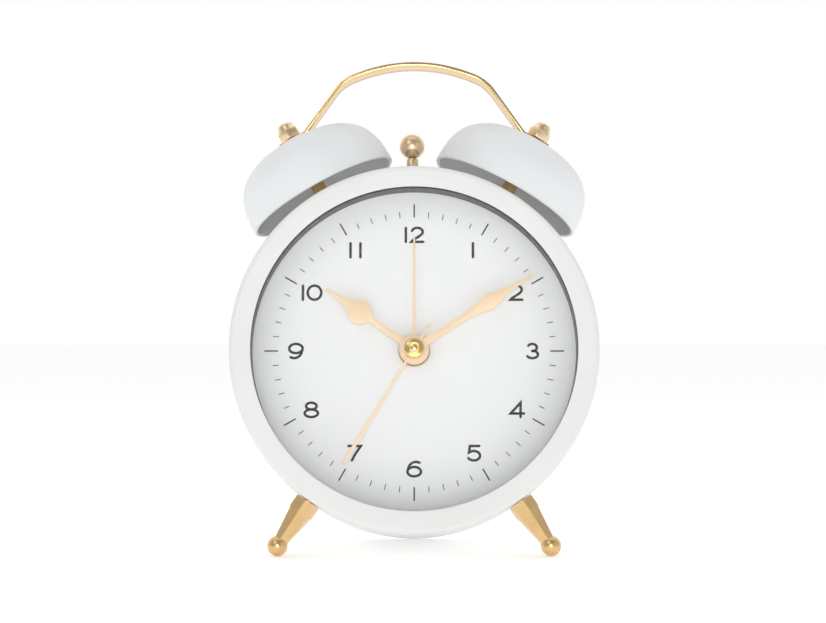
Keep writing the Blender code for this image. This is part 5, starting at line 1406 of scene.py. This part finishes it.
@dataclass(frozen=True)
class BatteryBay:
    """The hinged door, the cell and its coiled contact."""

    radius: float = 7.1 * MM
    length: float = 49.2 * MM

    def spring(self) -> BMesh:
        """Coil the wire of the negative contact along Z."""
        wire, coil, turns = 0.25 * MM, 2.6 * MM, 2.0
        bm = bmesh.new()
        start = Matrix.Translation((coil, 0.0, 0.0)) @ rotation(90.0, "X")
        ring = bmesh.ops.create_circle(bm, cap_ends=True, segments=10, radius=wire, matrix=start)
        steps = 64
        bmesh.ops.spin(bm, geom=list(bm.faces) + ring["verts"], cent=(0, 0, 0), axis=(0, 0, 1),
                       dvec=(0.0, 0.0, 1.05 * MM / steps), angle=math.tau * turns, steps=steps)
        return bm

    def build(self) -> list[Object]:
        """Build the door, the cell and the spring."""
        low, high = extent("battery_door")
        half_x = (high.x - low.x) / 2
        door = softened(block(half_x, (high.y - low.y) / 2, low.z, high.z,
                              ((low.x + high.x) / 2, (low.y + high.y) / 2)), 0.2 * MM)
        for step in range(4):
            groove = block(5.0 * MM - step * 1.1 * MM, 0.3 * MM, low.z - OVERRUN, low.z + 0.45 * MM,
                           (0.0, high.y - 2.0 * MM - step * 1.1 * MM))
            door = combined(door, Join.CUT, groove)
        cell_low, cell_high = extent("battery_cell")
        middle = (cell_low + cell_high) / 2
        half = self.length / 2
        shoulder = arc((self.radius - 0.6 * MM, half - 1.8 * MM), (0.6 * MM, 0.6 * MM), 0.0, 90.0,
                       8)
        foot = arc((self.radius - 0.5 * MM, -half + 0.5 * MM), (0.5 * MM, 0.5 * MM), -90.0, 0.0, 6)
        cell = lathe([(0.0, -half), *foot, *shoulder, (2.7 * MM, half - 1.2 * MM),
                      (2.6 * MM, half - 0.2 * MM),
                      (2.4 * MM, half), (0.0, half)], 96)
        sideways = Matrix.Translation(middle) @ rotation(90.0, "Y")
        coil_low, _ = extent("contact_spring")
        coil_start = Matrix.Translation((coil_low.x + 0.3 * MM, middle.y, middle.z))
        spring_place = coil_start @ rotation(90.0, "Y")
        return [publish("bay_door", door, WHITE_ABS, "door",
                        stands_for=["battery_door"]),
                publish("battery", cell, SLEEVE, place=CLOCK @ sideways,
                        stands_for=["battery_cell"]),
                publish("coiled_contact", self.spring(), NICKEL,
                        place=CLOCK @ spring_place,
                        stands_for=["contact_spring"])]


def dress_inner_works() -> None:
    """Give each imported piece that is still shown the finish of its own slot."""
    slots = {part["node"]: part["material_slot"] for part in frame["record"]["subparts"]}
    for name, node in frame["nodes"].items():
        if node.hide_render:
            continue
        low, high = extent(name)
        place = shifted(*((low + high) / 2))
        kind = SLOT_FINISHES[slots[name]]
        node.data.materials.clear()
        node.data.materials.append(replace(kind, name=f"{kind.name} ({name})",
                                           place=place).material())
        log.info("%s: packed piece, %s", name, kind.name)


# ---------------------------------------------------------------- studio

@dataclass(frozen=True)
class Lamp:
    """A soft area light that points at the clock.

    Attributes:
        name: Its name.
        place: Where it hangs, in metres.
        power: Power in watts.
        width: Width in metres.
        height: Height in metres.
    """

    name: str
    place: tuple[float, float, float]
    power: float
    width: float
    height: float

    def hang(self) -> None:
        """Add the light to the scene."""
        light = bpy.data.lights.new(self.name, "AREA")
        light.energy = self.power
        light.shape = "RECTANGLE"
        light.size, light.size_y = self.width, self.height
        lamp = bpy.data.objects.new(self.name, light)
        lamp.location = self.place
        aim = Vector((0.0, 0.0, 0.075)) - Vector(self.place)
        lamp.rotation_euler = aim.to_track_quat("-Z", "Y").to_euler()
        bpy.context.scene.collection.objects.link(lamp)


@dataclass(frozen=True)
class Studio:
    """A white sweep with soft lights and a level camera."""

    lens: float = 97.4
    backdrop: float = 1.0
    floor_glow: float = 0.3
    room: float = 0.36
    lamps: tuple[Lamp, ...] = (
        Lamp("key", (-0.45, -0.65, 0.75), 0.9, 0.5, 0.5),
        Lamp("front", (0.0, -0.9, 0.12), 2.1, 0.35, 0.35),
        Lamp("fill", (0.75, -0.55, 0.35), 0.5, 0.5, 0.7),
        Lamp("top", (0.0, 0.1, 0.9), 0.8, 0.8, 0.6),
    )

    def aim_camera(self) -> None:
        """Place the level camera in front of the dial."""
        camera = bpy.data.cameras.new("camera")
        camera.lens = self.lens
        camera.sensor_width = 36.0
        camera.clip_start = 0.01
        holder = bpy.data.objects.new("camera", camera)
        holder.location = CLOCK.translation + Vector((-0.343, -638.54, 11.29)) * MM
        holder.rotation_euler = (math.radians(90.0), 0.0, 0.0)
        bpy.context.scene.collection.objects.link(holder)
        bpy.context.scene.camera = holder

    def lay_floor(self) -> Object:
        """Lay the pale floor."""
        bm = bmesh.new()
        bmesh.ops.create_grid(bm, x_segments=1, y_segments=1, size=4.0)
        mesh = bpy.data.meshes.new("floor")
        bm.to_mesh(mesh)
        bm.free()
        # Studio paper: white with barely visible fibres.
        paper = Finish("White studio paper", "#FFFFFF", "#FCFCFC", 0.8, 0.05, Grain.PAPER, 0.6,
                       0.004,
                       patch_mm=60.0, specular=0.1, place=Matrix.Identity(4))
        material = paper.material()
        shader = material.node_tree.nodes["Principled BSDF"]
        shader.inputs["Emission Color"].default_value = (1.0, 1.0, 1.0, 1.0)
        shader.inputs["Emission Strength"].default_value = self.floor_glow
        mesh.materials.append(material)
        floor = bpy.data.objects.new("floor", mesh)
        bpy.context.scene.collection.objects.link(floor)
        return floor

    def light(self) -> None:
        """Light the scene from a white backdrop, a dimmer room before it and the soft lamps."""
        world = bpy.data.worlds.new("surround")
        world.use_nodes = True
        tree = world.node_tree
        glow = tree.nodes["Background"]
        glow.inputs["Color"].default_value = (1.0, 1.0, 1.0, 1.0)
        coords = add(tree, "ShaderNodeTexCoord")
        towards = add(tree, "ShaderNodeSeparateXYZ", {0: coords.outputs["Generated"]})
        level = add(tree, "ShaderNodeMapRange",
                    {"Value": towards.outputs["Y"], "From Min": -0.5, "From Max": 0.6,
                     "To Min": self.room, "To Max": self.backdrop}, interpolation_type="SMOOTHSTEP")
        tree.links.new(level.outputs[0], glow.inputs["Strength"])
        bpy.context.scene.world = world
        bpy.context.scene.view_settings.view_transform = "Standard"
        for lamp in self.lamps:
            lamp.hang()


def main() -> None:
    """Build the whole clock in order."""
    logging.basicConfig(level=logging.INFO, format="%(message)s")
    studio = Studio()
    studio.aim_camera()
    assemblies = [Case(), Dial(), *HANDS, SecondHand(), Leg("left", -1), Leg("right", 1),
                  Bell("left", -1), Bell("right",
                                         1), CarryHandle(), Striker(), BackCover(), Controls(),
                  BatteryBay()]
    for assembly in assemblies:
        pieces = assembly.build()
        log.info("%s: %d pieces", type(assembly).__name__, len(pieces))
    dress_inner_works()
    studio.lay_floor()
    studio.light()
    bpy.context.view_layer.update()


if __name__ == "__main__":
    main()
